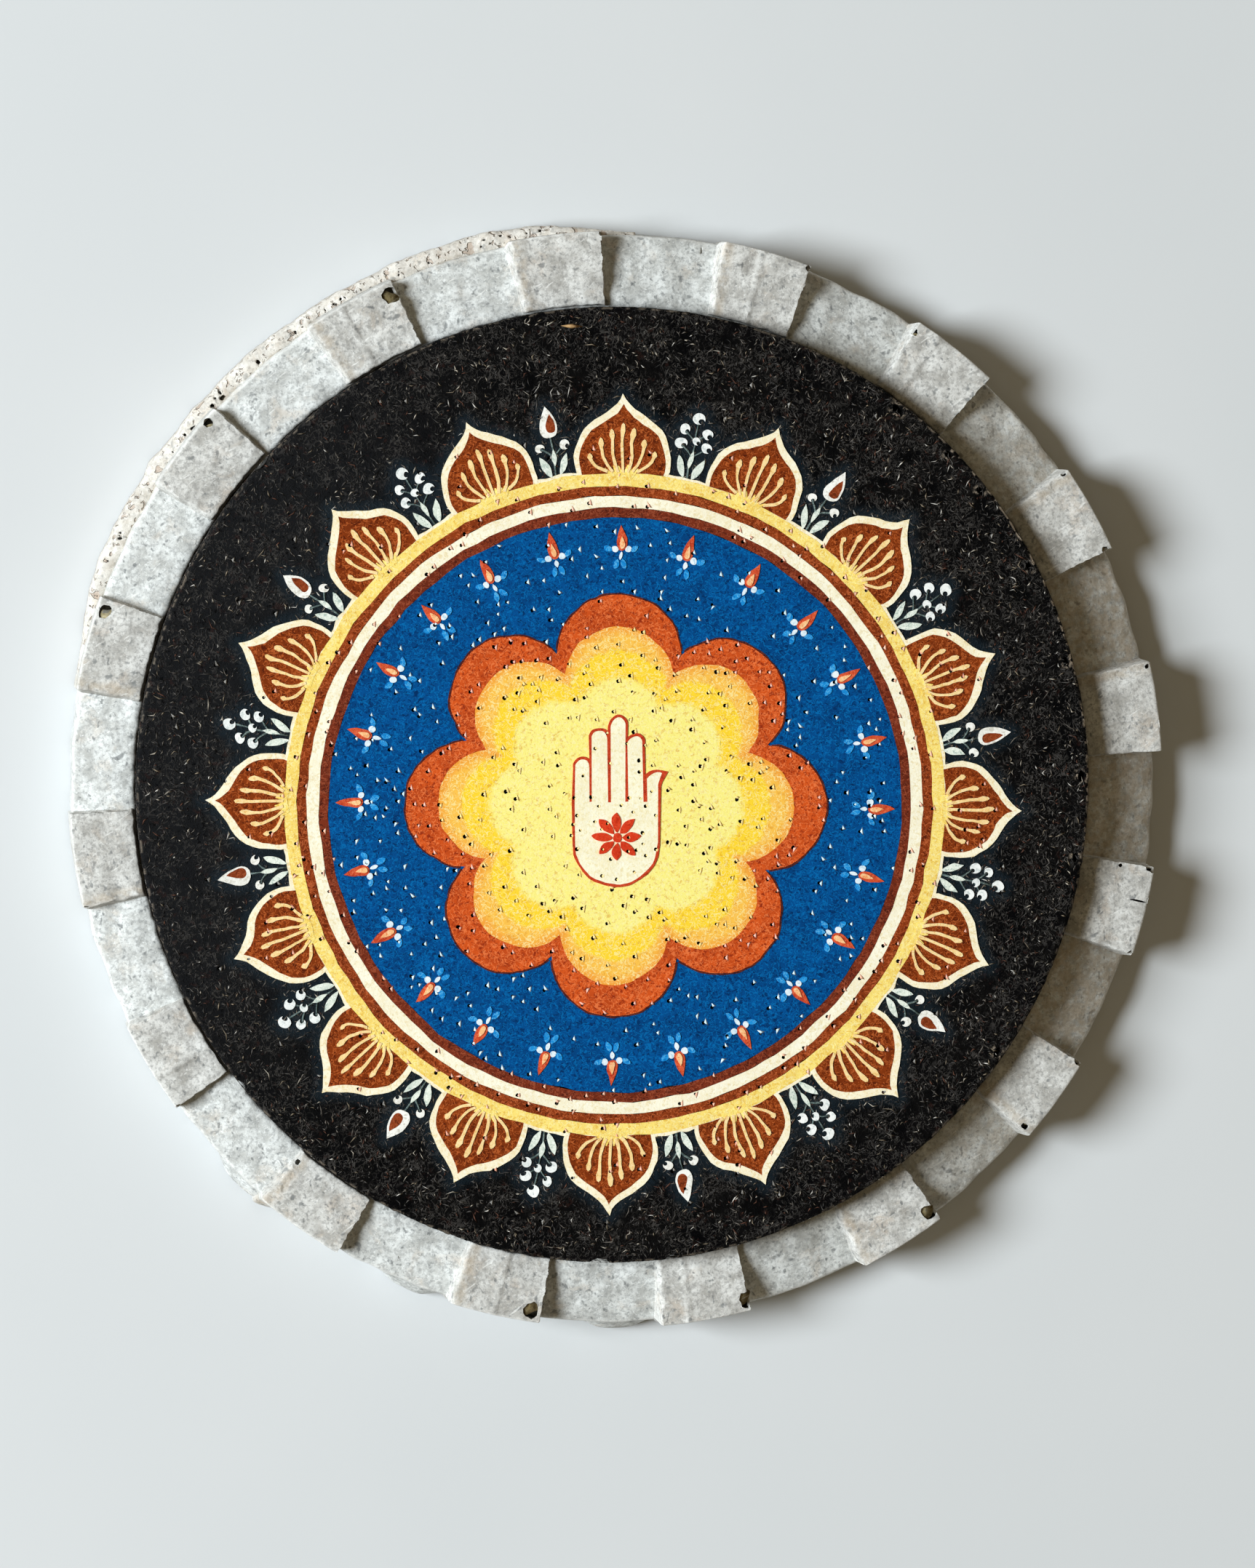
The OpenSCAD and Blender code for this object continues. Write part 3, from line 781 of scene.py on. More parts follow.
def pleat_sheet(number, material):
    """One fold of paper on the rim, turned down over its outside."""
    first, last = pleat_turns(number)
    middle = turn_between((first + last) / 2, 0)
    soft = 1 if abs(middle) < 100 else -1
    wide = 0.6 + 0.35 * abs(math.cos(math.radians(middle)))
    width = math.radians(last - first) * RIM_R
    columns = pleat_columns(width)
    from_soft, from_fold = (columns, width - columns)[::soft]
    share, z = sheet_path(Z_HEM + 0.5)
    run = np.concatenate([[0], np.cumsum(np.hypot(np.diff(share) * 8, np.diff(z)))])
    crease = np.zeros(len(columns))
    if number in CREASES:
        crease = 0.22 * np.exp(-((columns / width - CREASES[number]) * width / 0.3) ** 2)
    rows, rub_and_highlight = [], []
    for s, height, along in zip(share, z, run):
        here = np.array([[along + 31.7 * number]])
        ragged = 0.035 * waves(here, 0.8, 11) + 0.03 * waves(here, 0.35, 12)
        rise = pleat_rise(from_soft, from_fold, here, wide)
        angles = first + (last - first) * columns / width
        angles = angles - soft * ragged * smooth(1.5 - from_fold) * 0.9
        inner, outer = gather_span(angles)
        xy = inner + (outer - inner) * s
        level = drooped(height, s, angles)
        crest = Z_PLEAT - drooped(Z_RIM, s, angles)
        top = rise * (crest - PLEAT_FALL * s ** 2)
        bend = 0.1 * waves(xy, 4.5, 20 + number) + 0.035 * waves(xy, 1.5, 40 + number) + crease
        out = rise * (Z_PLEAT - Z_RIM) / 2 * smooth((s - 0.8) / 0.2) + 0.06
        if s < 1:
            level = level + top + bend * rise
        else:
            level = level + top * (1 - smooth((Z_RIM - SHOULDER_DROP[-1] - height) / 2.2))
            out = out + flare_at(angles) * wall_push(height) + 0.12 * bend
        rows.append(raised(xy + (outer - RIM) / RIM_R * out[:, None], level))
        # rubbed paper and painted highlight on the soft slope and along the folded edge
        worn_and_lit = np.maximum(0.2 * smooth(1.5 - from_soft / wide), smooth(1 - from_fold / 0.3))
        rub_and_highlight.append(worn_and_lit + edge_rub_and_highlight(s, height))
    stain_and_shade = 0.6 * smooth(1 - np.abs(from_soft - wide - 0.6) / 1.2) * (number % 3 != 2)
    faces = grid_faces(len(rows), len(columns))
    return add_sheet(f"fold_{number:02d}", rows, faces, material, np.concatenate(rub_and_highlight),
                     np.tile(stain_and_shade, len(rows)))


def gather_span(angles):
    """Where rays from the gather point leave the bore and meet the rim's outline."""
    reach = BORE_R - BORE_LEAN + 0.06 * waves(on_circle(angles, BORE_R), 1.6, 10)
    return ray_to(angles, reach, (0.0, 0.0)), ray_to(angles, RIM_R)


# ---- Cutting shapes ----

def plug(x, y, radius, low, high, rng, sides=9, taper=0.55, squash=1.0, turn=0.0):
    """Points and faces of an uneven round plug from low to high, narrower at its foot."""
    a = np.linspace(0, 2 * math.pi, sides, endpoint=False)
    uneven = 1 + 0.16 * rng.uniform(-1, 1, sides)
    cos_t, sin_t = math.cos(math.radians(turn)), math.sin(math.radians(turn))
    rings = []
    for z, size in ((high, 1.05), (low + 0.75 * (high - low), 1.0), (low, taper)):
        u, v = radius * size * uneven * np.cos(a), radius * size * squash * uneven * np.sin(a)
        flat = np.column_stack([x + u * cos_t - v * sin_t, y + u * sin_t + v * cos_t])
        rings.append(raised(flat, z))
    return capped(rings, [x, y, high], [x, y, low])


# ---- Ink cake ----

def cake_rings():
    """Radius and height of each ring of the cake's surface, from its underside round to its top."""
    bevel = 0.4
    rings = [(r, Z_CAKE) for r in (18.0, 36.0, 50.0, 57.0, CAKE_R - bevel)]
    rings += [(CAKE_R, z) for z in np.linspace(Z_CAKE + bevel, Z_TOP - bevel, 22)]
    rings += [(CAKE_R - 0.12, Z_TOP - 0.14)]
    rings += [(r, Z_TOP) for r in np.arange(CAKE_R - bevel, BLUE_R, -0.42)]
    return rings + [(r, Z_TOP) for r in (30.0, 20.0, 10.0)]


def near_paint(points):
    """1 beside the petals and sprigs and 0 away from them, for the haze of thin colour round them."""
    marks = [points_of(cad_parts[n]) for n in
             ("petal_outlines", "berry_sprigs", "bud_sprigs", "sprig_leaves")]
    marks = np.unique(np.round(np.concatenate(marks), 2), axis=0)
    tree = KDTree(len(marks))
    for i, p in enumerate(marks):
        tree.insert((p[0], p[1], 0.0), i)
    tree.balance()
    far = np.array([tree.find((p[0], p[1], 0.0))[2] for p in points])
    return 1 - smooth((far - 0.3) / 1.5)


def smooth_lit_side(angles):
    """1 on the side of the cake's top that is rubbed smooth and painted lighter as painted light, and 0 away
    from it.
    """
    return near_angle(angles, SMOOTH_LIT_AT, 48)


def ink_rows(angles):
    """The cake's surface ring by ring, and how worn it is: rough at the side, grainy on top, and paler along
    the top edge as wear and painted highlight.
    """
    rows, wear_and_highlight = [], []
    for r, z in cake_rings():
        xy = on_circle(angles, r)
        spots = raised(xy, z)
        rough = 0.5 + 0.5 * waves(spots, 1.3, 51) * waves(spots, 3.5, 52)
        side = smooth((r - CAKE_R + 1.2) / 1.0)
        xy = xy * (1 - side * (0.1 + 0.16 * np.clip(rough, 0, 1.4)) / CAKE_R)[:, None]
        sunk = 0.03 + 0.04 * np.clip(0.5 + 0.5 * waves(spots[:, :2], 1.6, 53), 0, 1)
        rows.append(raised(xy, z - sunk * (z >= Z_TOP)))
        # painted highlight: the top edge is paler, most near 68 degrees, besides its wear
        lit = near_angle(angles, 68, 34, 1.25)
        on_edge = Z_TOP - 0.3 < z < Z_TOP
        worn_and_lit = (0.25 + 0.75 * lit) * smooth(0.8 + waves(xy, 2.0, 54)) * on_edge
        if z > Z_TOP - 0.3:
            for at, size in EDGE_PITS:
                near = far_from(xy, on_circle(at, CAKE_R - EDGE_PIT_IN))
                worn_and_lit = np.maximum(worn_and_lit, 0.75 * smooth(1.75 - near / size))
        wear_and_highlight.append(worn_and_lit)
    return rows, wear_and_highlight


def ink_body(material, cutter):
    """The pressed cake, with its haze, its worn places and painted highlight, its smooth side painted lighter
    as painted light, and its pits and notches cut in.
    """
    rows, wear_and_highlight = ink_rows(np.arange(0, 360, 0.375))
    points, faces = capped(rows, [0, 0, Z_CAKE], [0, 0, Z_TOP - 0.05])
    obj = add_object("ink_body", points, faces, material)
    on_top = points[:, 2] > Z_TOP - 0.2
    shown = on_top & (far_from(points, ROSETTE) > GOLD_R - 1)
    haze = np.zeros(len(points))
    haze[shown] = near_paint(points[shown])
    set_value(obj, "wear_and_highlight", np.concatenate([*wear_and_highlight, [0, 0]]))
    set_value(obj, "haze", haze)
    set_value(obj, "smooth_and_lit", smooth_lit_side(angle_of(points)) * on_top)
    shade_sharp(cut(obj, cutter), 50)
    return finish_piece(obj, "cake", "black_ink", "ink_cake")


def edge_cuts(rng):
    """Pits beside the cake's edge, and notches down its side."""
    cuts = []
    for angle, radius in EDGE_PITS:
        x, y = on_circle(angle, CAKE_R - EDGE_PIT_IN)
        cuts.append(plug(x, y, radius * 1.35, Z_TOP - 1.3, Z_TOP + 0.9, rng, 12, 0.5, 0.62, -angle))
    for angle, half, depth in NOTCHES:
        x, y = on_circle(angle, CAKE_R)
        wide = math.radians(half) * CAKE_R
        cuts.append(plug(x, y, wide, Z_CAKE - 1, Z_TOP + 0.9, rng, 14, 0.9, depth / wide, -angle))
    return cuts


# ---- Fibres ----

def flat_ways(turn):
    """Directions of flat fibres turned by so many radians from +X: along, beside and up."""
    along = np.stack([np.cos(turn), np.sin(turn)], -1)
    beside = np.stack([-np.sin(turn), np.cos(turn)], -1)
    return raised(along, 0.0), raised(beside, 0.0), raised(0 * along, 1.0)


def slivers(name, centres, ways, sizes, bends, tints, material):
    """Spindle-shaped fibres, each with its place, three unit directions, three sizes and a bend."""
    along, beside, up = ways
    length, width, height = (sizes[:, k:k + 1] for k in range(3))
    middle = centres + beside * bends[:, None]
    corners = np.stack([
        centres - along * length / 2,
        centres + along * length / 2,
        middle + beside * width / 2,
        middle + up * height,
        middle - beside * width / 2,
        middle - up * height / 2,
    ], 1)
    faces = []
    for k in range(4):
        here, there = 2 + k, 2 + (k + 1) % 4
        faces += [(0, here, there), (1, there, here)]
    faces = np.array(faces)[None] + 6 * np.arange(len(centres))[:, None, None]
    obj = add_object(name, corners.reshape(-1, 3), faces.reshape(-1, 3), material)
    set_tint(obj, np.repeat(tints, 6, 0))
    return obj


def pick_tints(rng, count, palette):
    """Linear colours drawn from a palette of (weight, colour) rows, each a little lighter or darker."""
    weights = np.array([w for w, _ in palette], float)
    colours = np.array([srgb(*c)[:3] for _, c in palette])
    chosen = colours[rng.choice(len(palette), count, p=weights / weights.sum())]
    return chosen * rng.uniform(0.7, 1.25, (count, 1))


INK_FIBRES = [
    (40, (56, 54, 53)), (30, (80, 77, 74)), (13, (106, 100, 93)), (6, (132, 120, 102)),
    (3, (176, 168, 154)), (7, (92, 62, 50)), (2, (206, 202, 194)),
]
PAPER_HAIRS = [(5, (238, 238, 234)), (3, (150, 148, 138)), (1, (96, 92, 82))]


def ink_fibres(rng, count, lengths, longest, widest, bend):
    """Sizes, bends and colours of the ink's fibres; lengths is the middle and spread of their logarithm."""
    length = np.clip(rng.lognormal(*lengths, count), 0.35, longest)
    width = rng.uniform(0.1, widest, count)
    sizes = np.column_stack([length, width, rng.uniform(0.03, 0.06, count)])
    bends = rng.normal(0, bend, count) * length
    return sizes, bends, pick_tints(rng, count, INK_FIBRES)


def top_fibres(material):
    """Fibres that lie matted in the cake's top, and one straw at its edge."""
    rng = np.random.default_rng(61)
    angle = rng.uniform(0, 360, FIBRES)
    radius = np.sqrt(rng.uniform((BLUE_R - 2) ** 2, (CAKE_R - 0.7) ** 2, FIBRES))
    centres = raised(on_circle(angle, radius), Z_TOP - 0.03)
    ways = flat_ways(rng.uniform(0, math.pi, FIBRES))
    sunk = smooth_lit_side(angle) * (rng.uniform(0, 1, FIBRES) < 0.4)
    centres[:, 2] -= 0.2 * sunk
    sizes, bends, tints = ink_fibres(rng, FIBRES, (-0.34, 0.42), 2.2, 0.22, 0.16)
    centres[0, :2] = on_circle(-5.5, CAKE_R - 2.35)
    ways[0][0], ways[1][0] = (0.998, -0.03, 0), (0.03, 0.998, 0)
    sizes[0], bends[0], tints[0] = (2.9, 0.62, 0.09), 0, srgb(186, 150, 104)[:3]
    obj = slivers("top_fibres", centres, ways, sizes, bends, tints, material)
    return finish_piece(obj, "cake", "black_ink")


def side_fibres(material):
    """Fibres that lie in the cake's side, most of them near its top."""
    rng = np.random.default_rng(62)
    angle = rng.uniform(0, 360, SIDE_FIBRES)
    z = Z_TOP - 0.4 - (Z_TOP - Z_CAKE - 0.9) * rng.uniform(0, 1, SIDE_FIBRES) ** 1.5
    centres = raised(on_circle(angle, CAKE_R - 0.2), z)
    out = raised(on_circle(angle, 1.0), 0.0)
    level = np.column_stack([out[:, 1], -out[:, 0], out[:, 2]])
    turn = rng.uniform(0, math.pi, SIDE_FIBRES)[:, None]
    rise = np.array([0.0, 0.0, 1.0])
    along = level * np.cos(turn) + rise * np.sin(turn)
    beside = -level * np.sin(turn) + rise * np.cos(turn)
    sizes, bends, tints = ink_fibres(rng, SIDE_FIBRES, (-0.3, 0.4), 1.8, 0.2, 0.08)
    obj = slivers("side_fibres", centres, (along, beside, out), sizes, bends, tints, material)
    return finish_piece(obj, "cake", "black_ink")


# ---- Pits in the paint ----

def zone_of(points):
    """The painted zone that each point is in."""
    rho = far_from(points, ROSETTE)
    petal = np.abs(turn_between((angle_of(points, ROSETTE) - ROSETTE_TURN) % (360 / PETALS), 0))
    petal = np.minimum(petal, 360 / PETALS - petal)
    zone = np.full(len(points), "black", dtype="<U8")
    zone[(rho < GOLD_R + 7) & (petal * rho * math.pi / 180 < 4.6)] = "petals"
    zone[rho < GOLD_R] = "bands"
    zone[rho < BLUE_R] = "blue"
    inside = lobes_distance(points, RED_REACH, RED_LOBE) < 0.2
    zone[inside | (rho < RED_REACH * (1 - RED_LOBE))] = "lotus"
    return zone


def scatter_pits():
    """Places of the pricked pits, none nearer than the gap to another or to the cake's edge."""
    rng = np.random.default_rng(71)
    most = max(PIT_DENSITY.values())
    tries = int(most * math.pi * (CAKE_R / 10) ** 2)
    points = on_circle(rng.uniform(0, 360, tries), (CAKE_R - 3) * np.sqrt(rng.uniform(0, 1, tries)))
    zones = zone_of(points)
    wanted = np.array([PIT_DENSITY[z] for z in zones]) / most
    lively = rng.uniform(0, 1, tries) < wanted * (1 + 0.5 * waves(points, 9.0, 72))
    kept = []
    for i in np.flatnonzero(lively):
        if not kept or far_from(points[kept], points[i]).min() > PIT_GAP:
            kept.append(i)
    return points[kept], zones[kept], rng.uniform(*PIT_R, len(kept))


# painted highlight: each zone's crumbs are much paler than its paint
BURR_HIGHLIGHT_COLOURS = {
    "blue": (214, 244, 255), "bands": (240, 176, 146), "petals": (238, 160, 130),
    "lotus": (250, 214, 126), "black": (104, 100, 94),
}


def pit_burrs(points, zones, radii, material):
    """A crumb of paint pushed up beside each pit, much paler than its paint as a painted highlight on the
    pit's lit side.
    """
    rng = np.random.default_rng(73)
    count = len(points)
    out, along, up = flat_ways(np.radians(rng.normal(12, 28, count)))
    layer = np.where(zones == "lotus", 2, np.where(zones == "black", 0, 1))
    centres = raised(points, Z_TOP + layer * PAINT_T) + out * (radii + 0.1)[:, None]
    sizes = np.column_stack([rng.uniform(0.6, 1.1, count), rng.uniform(0.32, 0.46, count),
                             rng.uniform(0.12, 0.2, count)])
    tints = np.array([srgb(*BURR_HIGHLIGHT_COLOURS[z])[:3] for z in zones])
    outside = lobes_distance(points, ORANGE_REACH, ORANGE_LOBE) > 0
    outside &= far_from(points, ROSETTE) > ORANGE_REACH * (1 - ORANGE_LOBE)
    tints[(zones == "lotus") & outside] = srgb(248, 176, 154)[:3]
    tints *= rng.uniform(0.85, 1.15, (count, 1))
    ways = (along, out, up)
    obj = slivers("pit_burrs", centres, ways, sizes, -0.4 * sizes[:, 1], tints, material)
    return finish_piece(obj, "cake", "white_paint")


# ---- Paint ----

def hand_painted(points):
    """Points moved a little in the flat, as a brush strays from its line."""
    flat = points[:, :2]
    moved = points.copy()
    for axis in (0, 1):
        moved[:, axis] += 0.09 * waves(flat, 5.0, 81 + axis) + 0.035 * waves(flat, 1.3, 83 + axis)
    return moved


def welded_copy(node, name, material):
    """A CAD node's mesh as a new closed mesh object with its own material."""
    obj = new_object(name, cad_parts[node].data.copy())
    form = bmesh.new()
    form.from_mesh(obj.data)
    bmesh.ops.remove_doubles(form, verts=form.verts, dist=0.001 * MM)
    form.to_mesh(obj.data)
    form.free()
    stale = obj.data.attributes.get("custom_normal")
    if stale:
        obj.data.attributes.remove(stale)
    obj.data.materials.clear()
    obj.data.materials.append(material)
    return obj


def painted(obj, slot, *nodes, cutter=None, crisp=True):
    """Moves paint a little off its line, pricks the pits through it and lays it on the cake."""
    set_points(obj, hand_painted(points_of(obj)))
    if cutter:
        cut(obj, cutter)
    if crisp:
        shade_sharp(obj, 30)
    return finish_piece(obj, "cake", slot, *nodes)


def coat(node, material, cutter):
    """One coat of paint, which stands for a CAD node."""
    obj = welded_copy(node, "coat_" + node, material)
    return painted(obj, PAINTS[node][0], node, cutter=cutter)


def strip(path, widths, low, high, closed=False):
    """Points and faces of a flat brush stroke along a path."""
    path = np.asarray(path, float)
    if closed:
        ahead = np.roll(path, -1, 0) - np.roll(path, 1, 0)
    else:
        ahead = np.gradient(path, axis=0)
    ahead /= np.linalg.norm(ahead, axis=1)[:, None]
    beside = np.column_stack([-ahead[:, 1], ahead[:, 0]]) * (np.asarray(widths) / 2)[:, None]
    count = len(path)
    left, right = path + beside, path - beside
    ring = [np.column_stack([side, np.full(count, z)])
            for side, z in ((left, low), (right, low), (right, high), (left, high))]
    points = np.stack(ring, 1).reshape(-1, 3)
    faces = grid_faces(count, 4, True).tolist()
    last = 4 * (count - 1)
    if closed:
        faces += [[last + k, last + (k + 1) % 4, (k + 1) % 4, k] for k in range(4)]
    else:
        faces += [[3, 2, 1, 0], [last, last + 1, last + 2, last + 3]]
    return points, faces


def spoke(turn, out, across=0.0):
    """A point of the rosette: how far out on the ray at turn, and how far across it."""
    a = math.radians(turn + ROSETTE_TURN)
    sin_a, cos_a = math.sin(a), math.cos(a)
    return ROSETTE + np.array([sin_a, cos_a]) * out + np.array([cos_a, -sin_a]) * across


def gold_edging(material, cutter):
    """The thin pale line along the gold band's outer edge."""
    path = on_circle(np.arange(0, 360, 0.5), GOLD_R + 0.12, ROSETTE)
    widths = 0.5 + 0.14 * waves(path, 2.5, 91)
    line = strip(path, widths, Z_TOP - 0.02, Z_TOP + 0.8 * PAINT_T, True)
    return painted(add_object("gold_edging", *line, material), "cream_paint", cutter=cutter)


def petal_roots(material):
    """Gold strokes that fan out of the band at the root of every petal."""
    rng = np.random.default_rng(92)
    shapes = []
    for k in range(PETALS):
        for lean in np.linspace(-1, 1, 9):
            reach = 1.1 * math.sqrt(1.04 - 0.8 * lean * lean) * rng.uniform(0.7, 1.15)
            t = np.linspace(0, 1, 5)[:, None]
            foot = spoke(k * 360 / PETALS, GOLD_R - 0.5, 1.15 * lean)
            tip = spoke(k * 360 / PETALS, GOLD_R + reach, 2.1 * lean + rng.uniform(-0.1, 0.1))
            widths = np.array([0.5, 0.5, 0.42, 0.3, 0.12]) * rng.uniform(0.85, 1.1)
            high = Z_TOP + (1.25 + 0.2 * rng.uniform()) * PAINT_T
            shapes.append(strip(foot + (tip - foot) * t, widths, Z_TOP + 0.5 * PAINT_T, high))
    return painted(joined("petal_roots", shapes, material), "gold_paint")


# Every other sprig carries berries or a bud: its stem's height, and each twig's end, across and out
SPRIGS = [
    (7.2, [(-1.4, 6.1), (1.35, 6.0), (-1.55, 4.2), (1.6, 4.2)]),
    (5.0, [(-1.5, 4.0), (1.5, 4.0)]),
]


def sprig_stems(material):
    """The thin grey-green stems that carry the berries and buds."""
    rng = np.random.default_rng(93)
    shapes = []
    for k in range(PETALS):
        turn = (k + 0.5) * 360 / PETALS
        tall, ends = SPRIGS[k % 2]
        twigs = [((0, 0.2), (0, tall))]
        twigs += [((0, out - 1.5), (across, out)) for across, out in ends]
        for (x0, y0), (x1, y1) in twigs:
            t = np.linspace(0, 1, 6)
            path = [spoke(turn, GOLD_R + y0 + (y1 - y0) * s, x0 + (x1 - x0) * s ** 1.5) for s in t]
            widths = 0.2 + 0.06 * rng.uniform(-1, 1, 6)
            shapes.append(strip(path, widths, Z_TOP - 0.05, Z_TOP + 0.45 * PAINT_T))
    return painted(joined("sprig_stems", shapes, material), "leaf_paint", crisp=False)


def lotus_edging(material):
    """The dark line round the red lotus."""
    shapes = []
    lobe_r = RED_REACH * RED_LOBE
    step = 360 / LOBES
    half = math.degrees(math.asin(min(1.0, math.sin(math.pi / LOBES) * (RED_REACH - lobe_r) / lobe_r)))
    sweep = 126 - half + step / 2
    for k in range(LOBES):
        turns = np.linspace(-sweep, sweep, 60) + k * step + ROSETTE_TURN
        path = on_circle(turns, lobe_r + 0.05, spoke(k * step, RED_REACH - lobe_r))
        path = path[lobes_distance(path, RED_REACH, RED_LOBE) > -0.05]
        widths = 0.34 + 0.08 * waves(path, 2.0, 95)
        shapes.append(strip(path, widths, Z_TOP + 0.5 * PAINT_T, Z_TOP + 1.5 * PAINT_T))
    return painted(joined("lotus_edging", shapes, material), "dark_brown_paint")


# ---- The rest of the tray ----

def paper_disc(name, radius, low, high, crumple, material, seed):
    """A disc of paper with a torn-looking edge and a slightly uneven face."""
    angles = np.arange(0, 360, 0.75)
    radii = list(np.linspace(4, radius - 1.2, 30)) + [radius - 0.5, radius - 0.1]
    rows = []
    for r in radii + radii[::-1]:
        xy = on_circle(angles, r)
        xy = xy * (1 + 0.12 * waves(xy, 2.4, seed) / radius * smooth((r - radius + 3) / 3))[:, None]
        under = len(rows) < len(radii)
        rows.append(raised(xy, low if under else high - crumple + crumple * waves(xy, 7.0, seed + 1)))
    return add_object(name, *capped(rows, [0, 0, low], [0, 0, high - crumple]), material)


def bite_cutter(material):
    """Holes, bitten corners and slits for the rim's paper, as one cutter."""
    rng = np.random.default_rng(31)
    cuts = []
    for number, share, inward, radius in BITES:
        x, y = on_pleat(number, share, inward - 0.6)
        turn = -pleat_turns(number)[0] - 90 * rng.uniform()
        cuts.append(plug(x, y, radius, Z_RIM + 0.25, Z_PLEAT + 2, rng, 14, 0.9, 0.85, turn))
    for angle, length in SLITS:
        x, y = ray_to(angle, RIM_R + 0.3 - length / 2)
        cuts.append(plug(x, y, length / 2 + 0.3, Z_RIM - 2.0, Z_PLEAT + 1, rng, 10, 1.0, 0.12, 90 - angle))
    return joined("bites", cuts, material)


def foot_holes(material):
    """Small holes in the upper face of the under-layer."""
    rng = np.random.default_rng(18)
    angles = FOOT_SPAN[0] + 8 + (FOOT_SPAN[1] - FOOT_SPAN[0] - 16) * rng.uniform(0, 1, 36)
    shapes = []
    for angle in angles:
        x, y = on_circle(angle, RIM_R + PLEAT_OUT + FOOT_OUT * rng.uniform(0.1, 0.95), RIM)
        size = min(rng.lognormal(-1.5, 0.4), 0.5)
        shapes.append(plug(x, y, size, FOOT_H - 0.32, FOOT_H + 1, rng, 9, 0.7,
                           rng.uniform(0.4, 0.9), rng.uniform(0, 180)))
    return joined("foot_holes", shapes, material)


def hole_floors(material):
    """Olive paper that shows in the wider bites and holes."""
    shapes = []
    level = Z_PLEAT - HOLE_DEEP
    for number, share, inward, radius in BITES:
        if radius >= HOLE_WIDE and 0 < share < 1:
            x, y = on_pleat(number, 0.5 + (share - 0.5) * 0.86, max(inward, radius + 0.2))
            rng = np.random.default_rng(number)
            shapes.append(plug(x, y, radius + 0.2, level - PAPER_T, level, rng, 14, 0.95))
    return joined("hole_floors", shapes, material)


def paper_hairs(material):
    """Loose hairs and flecks that lie in the rim's paper."""
    rng = np.random.default_rng(32)
    count = 320
    angle = rng.uniform(0, 360, count)
    share = rng.uniform(0.08, 0.92, count)
    xy = on_circle(angle, BORE_R + share * (RIM_R - BORE_R))
    centres = raised(xy, drooped(Z_RIM, share, angle) + crumple(xy))
    ways = flat_ways(rng.uniform(0, math.pi, count))
    length = np.clip(rng.lognormal(-0.2, 0.5, count), 0.4, 2.4)
    sizes = raised(np.column_stack([length, rng.uniform(0.06, 0.14, count)]), 0.05)
    tints = pick_tints(rng, count, PAPER_HAIRS)
    bends = rng.normal(0, 0.15, count) * length
    return slivers("rim_hairs", centres, ways, sizes, bends, tints, material)


# ---- Stage ----

CAMERA_TILT = 6.5         # away from straight down
CAMERA_TURN = 295.0       # the side the camera leans to
CAMERA_FAR = 800.0
FRAME_LONG = 196.0        # what the picture's long side takes in
AIM = (1.4, 0.3, Z_TOP)
LIGHT_TURN = 273.0        # the side the light comes from
LIGHT_RISE = 40.0         # its angle above the table
LIGHT_FAR = 2100.0
LIGHT_SIZE = 980.0
LIGHT_POWER = 67.4
LIGHT_COLOUR = (0.9, 0.96, 1.0)
FILL = (0.155, 0.123, 0.075)                    # light from all round, which colours the shade


def add_camera():
    lean = math.radians(CAMERA_TILT)
    side = on_circle(CAMERA_TURN, CAMERA_FAR * math.sin(lean))
    data = bpy.data.cameras.new("camera")
    data.sensor_width = 36.0
    data.lens = data.sensor_width * CAMERA_FAR / FRAME_LONG
    data.clip_end = 10.0
    camera = new_object("camera", data)
    place = Vector((AIM[0] + side[0], AIM[1] + side[1], AIM[2] + CAMERA_FAR * math.cos(lean)))
    back = (place - Vector(AIM)).normalized()
    right = Vector((0.0, 1.0, 0.0)).cross(back).normalized()
    above = back.cross(right)
    turned = Matrix((right, above, back)).transposed().to_4x4()
    camera.matrix_world = Matrix.Translation(place * MM) @ turned
    bpy.context.scene.camera = camera


def add_light():
    rise = math.radians(LIGHT_RISE)
    side = on_circle(LIGHT_TURN, LIGHT_FAR * math.cos(rise))
    data = bpy.data.lights.new("window", "AREA")
    data.shape = "DISK"
    data.size = LIGHT_SIZE * MM
    data.energy = LIGHT_POWER
    data.color = LIGHT_COLOUR
    light = new_object("window", data)
    light.location = Vector((side[0], side[1], LIGHT_FAR * math.sin(rise))) * MM
    light.rotation_mode = "QUATERNION"
    light.rotation_quaternion = light.location.to_track_quat("Z", "Y")
    world = bpy.data.worlds.new("fill")
    world.use_nodes = True
    world.node_tree.nodes["Background"].inputs["Color"].default_value = (*FILL, 1.0)
    bpy.context.scene.world = world


def add_floor():
    half = 4000.0
    points = [[-half, -half, 0], [half, -half, 0], [half, half, 0], [-half, half, 0]]
    floor = add_object("floor", points, [[0, 1, 2, 3]], floor_look())


# ---- The model ----

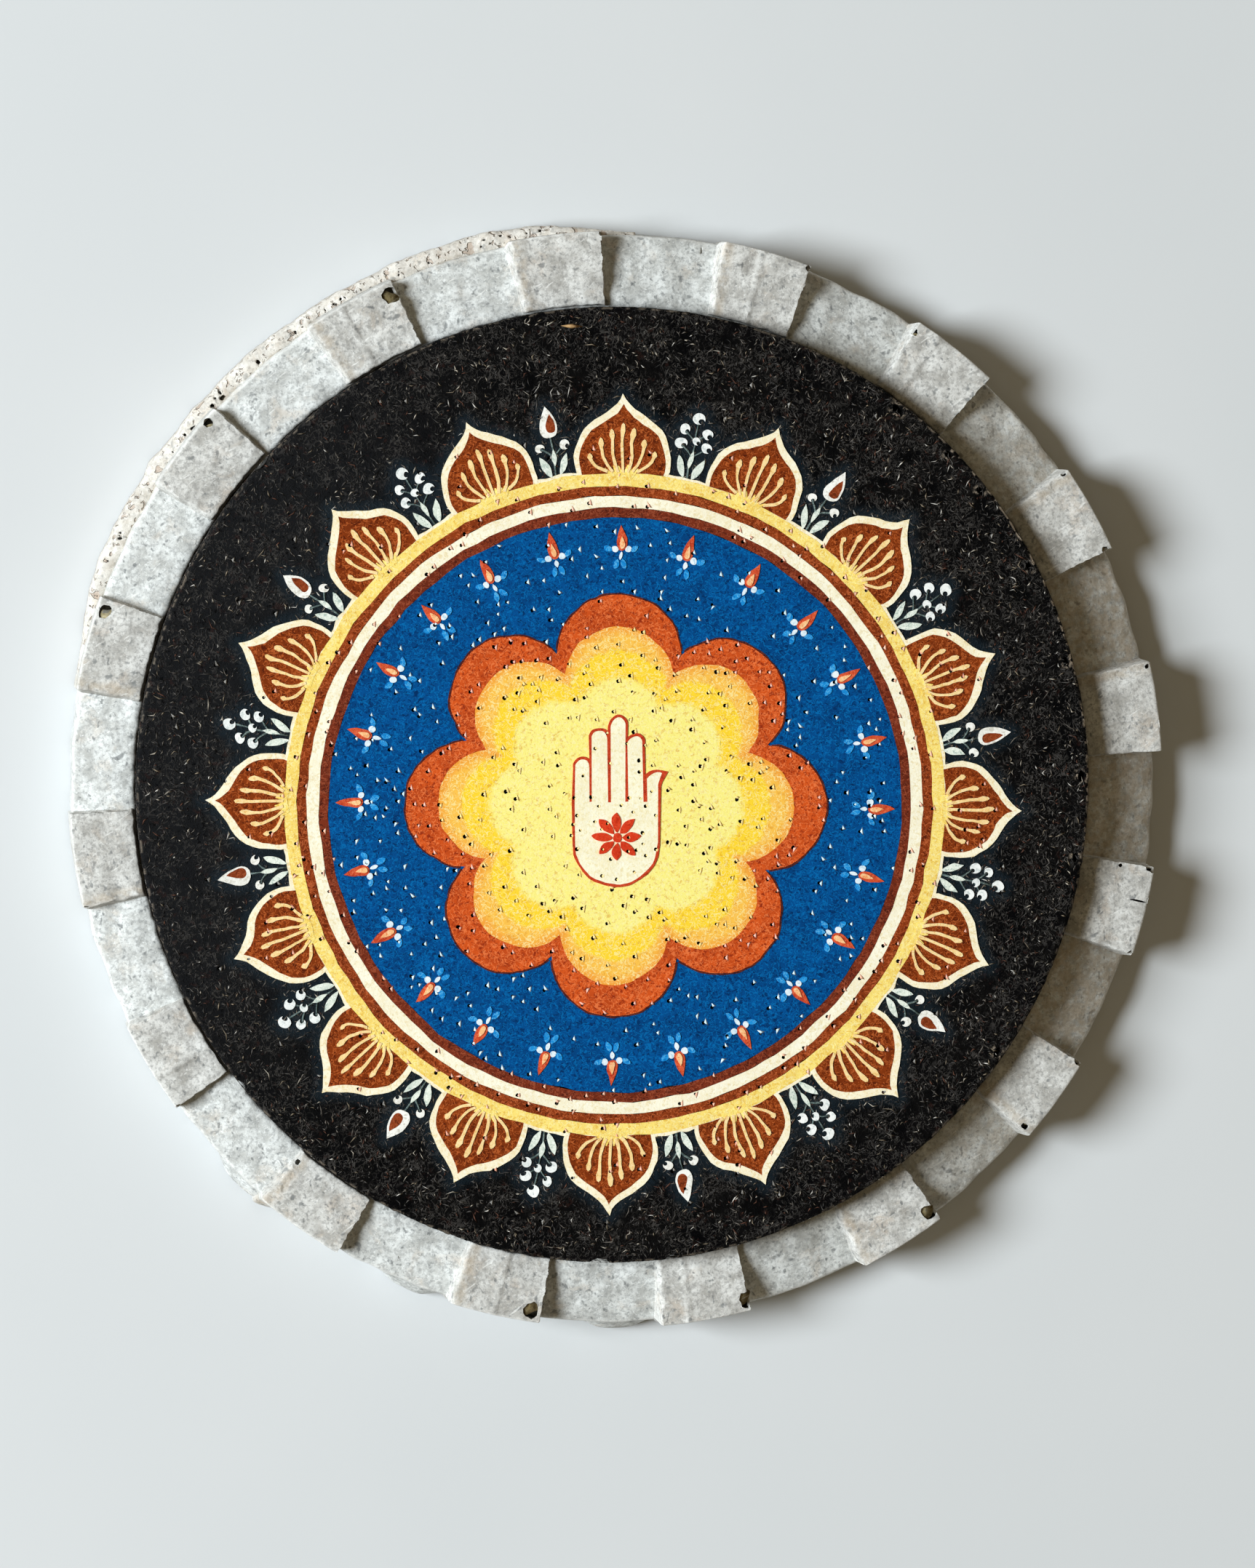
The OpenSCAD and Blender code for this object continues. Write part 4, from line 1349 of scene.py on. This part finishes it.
def build_cake():
    rng = np.random.default_rng(70)
    points, zones, radii = scatter_pits()
    plain = bpy.data.materials.new("cutter")
    pits = [plug(x, y, r, Z_TOP - PIT_DEPTH, Z_TOP + 1.2, rng) for (x, y), r in zip(points, radii)]
    pricks = joined("pricks", pits, plain)
    everything = joined("cake_cuts", pits + edge_cuts(rng), plain)
    ink_body(ink_look(), everything)
    top_fibres(fibre_look("ink_fibre"))
    side_fibres(fibre_look("side_fibre"))
    pit_burrs(points, zones, radii, burr_highlight_look())
    yellow = lotus_look()
    looks = {}
    for node, (slot, colour, dark, light, grain) in PAINTS.items():
        if colour is None:
            looks[node] = yellow
        else:
            looks[node] = paint_look(node, srgb(*colour), srgb(*dark), srgb(*light), grain)
        coat(node, looks[node], pricks)
    gold_edging(looks["petal_outlines"], pricks)
    petal_roots(looks["gold_band"])
    lotus_edging(paint_look("dark_edge", srgb(84, 34, 26), srgb(40, 24, 34), srgb(128, 60, 44)))
    sprig_stems(paint_look("stem", srgb(96, 112, 110), srgb(60, 74, 74), srgb(150, 164, 158)))
    drop(pricks, everything)


def build_tray():
    paper = paper_look("handmade_paper")
    # painted shade: the folds take a slightly darker, warmer copy of the rim's paper
    folded = paper_look("folded_paper", (206, 205, 200))
    bites = bite_cutter(paper)
    finish_piece(cut(rim_sheet(paper), bites), "wrapper", "handmade_paper", "paper_band")
    holes = foot_holes(paper)
    foot = loose_foot(paper_look("pitted_paper", (226, 221, 212), 0.45))
    finish_piece(cut(foot, holes), "wrapper", "handmade_paper")
    for number in range(1, PLEATS + 1):
        fold = shade_sharp(cut(pleat_sheet(number, folded), bites), 55)
        finish_piece(fold, "wrapper", "folded_paper", f"pleat_{number:02d}")
    finish_piece(paper_hairs(fibre_look("paper_hair", 0.8)), "wrapper", "handmade_paper")
    olive = paper_look("olive_paper", (150, 138, 104))
    finish_piece(hole_floors(olive), "wrapper", "folded_paper")
    backing = paper_disc("backing_paper", BACKING_R, 0.0, PAPER_T, 0.02, paper, 33)
    finish_piece(backing, "wrapper", "backing_paper", "backing_sheet")
    lining_lo, lining_hi = span("lining_paper")
    lining = paper_disc("lining", BORE_R - 0.1, lining_lo[2], lining_hi[2], 0.03, folded, 34)
    finish_piece(lining, "wrapper", "lining_paper", "lining_paper")
    card = card_look()
    for node in ("base_card", "rim_core"):
        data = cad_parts[node].data
        data.materials.clear()
        data.materials.append(card)
    drop(bites, holes)


add_camera()
add_light()
add_floor()
build_tray()
build_cake()
bpy.context.scene.view_settings.view_transform = "Standard"
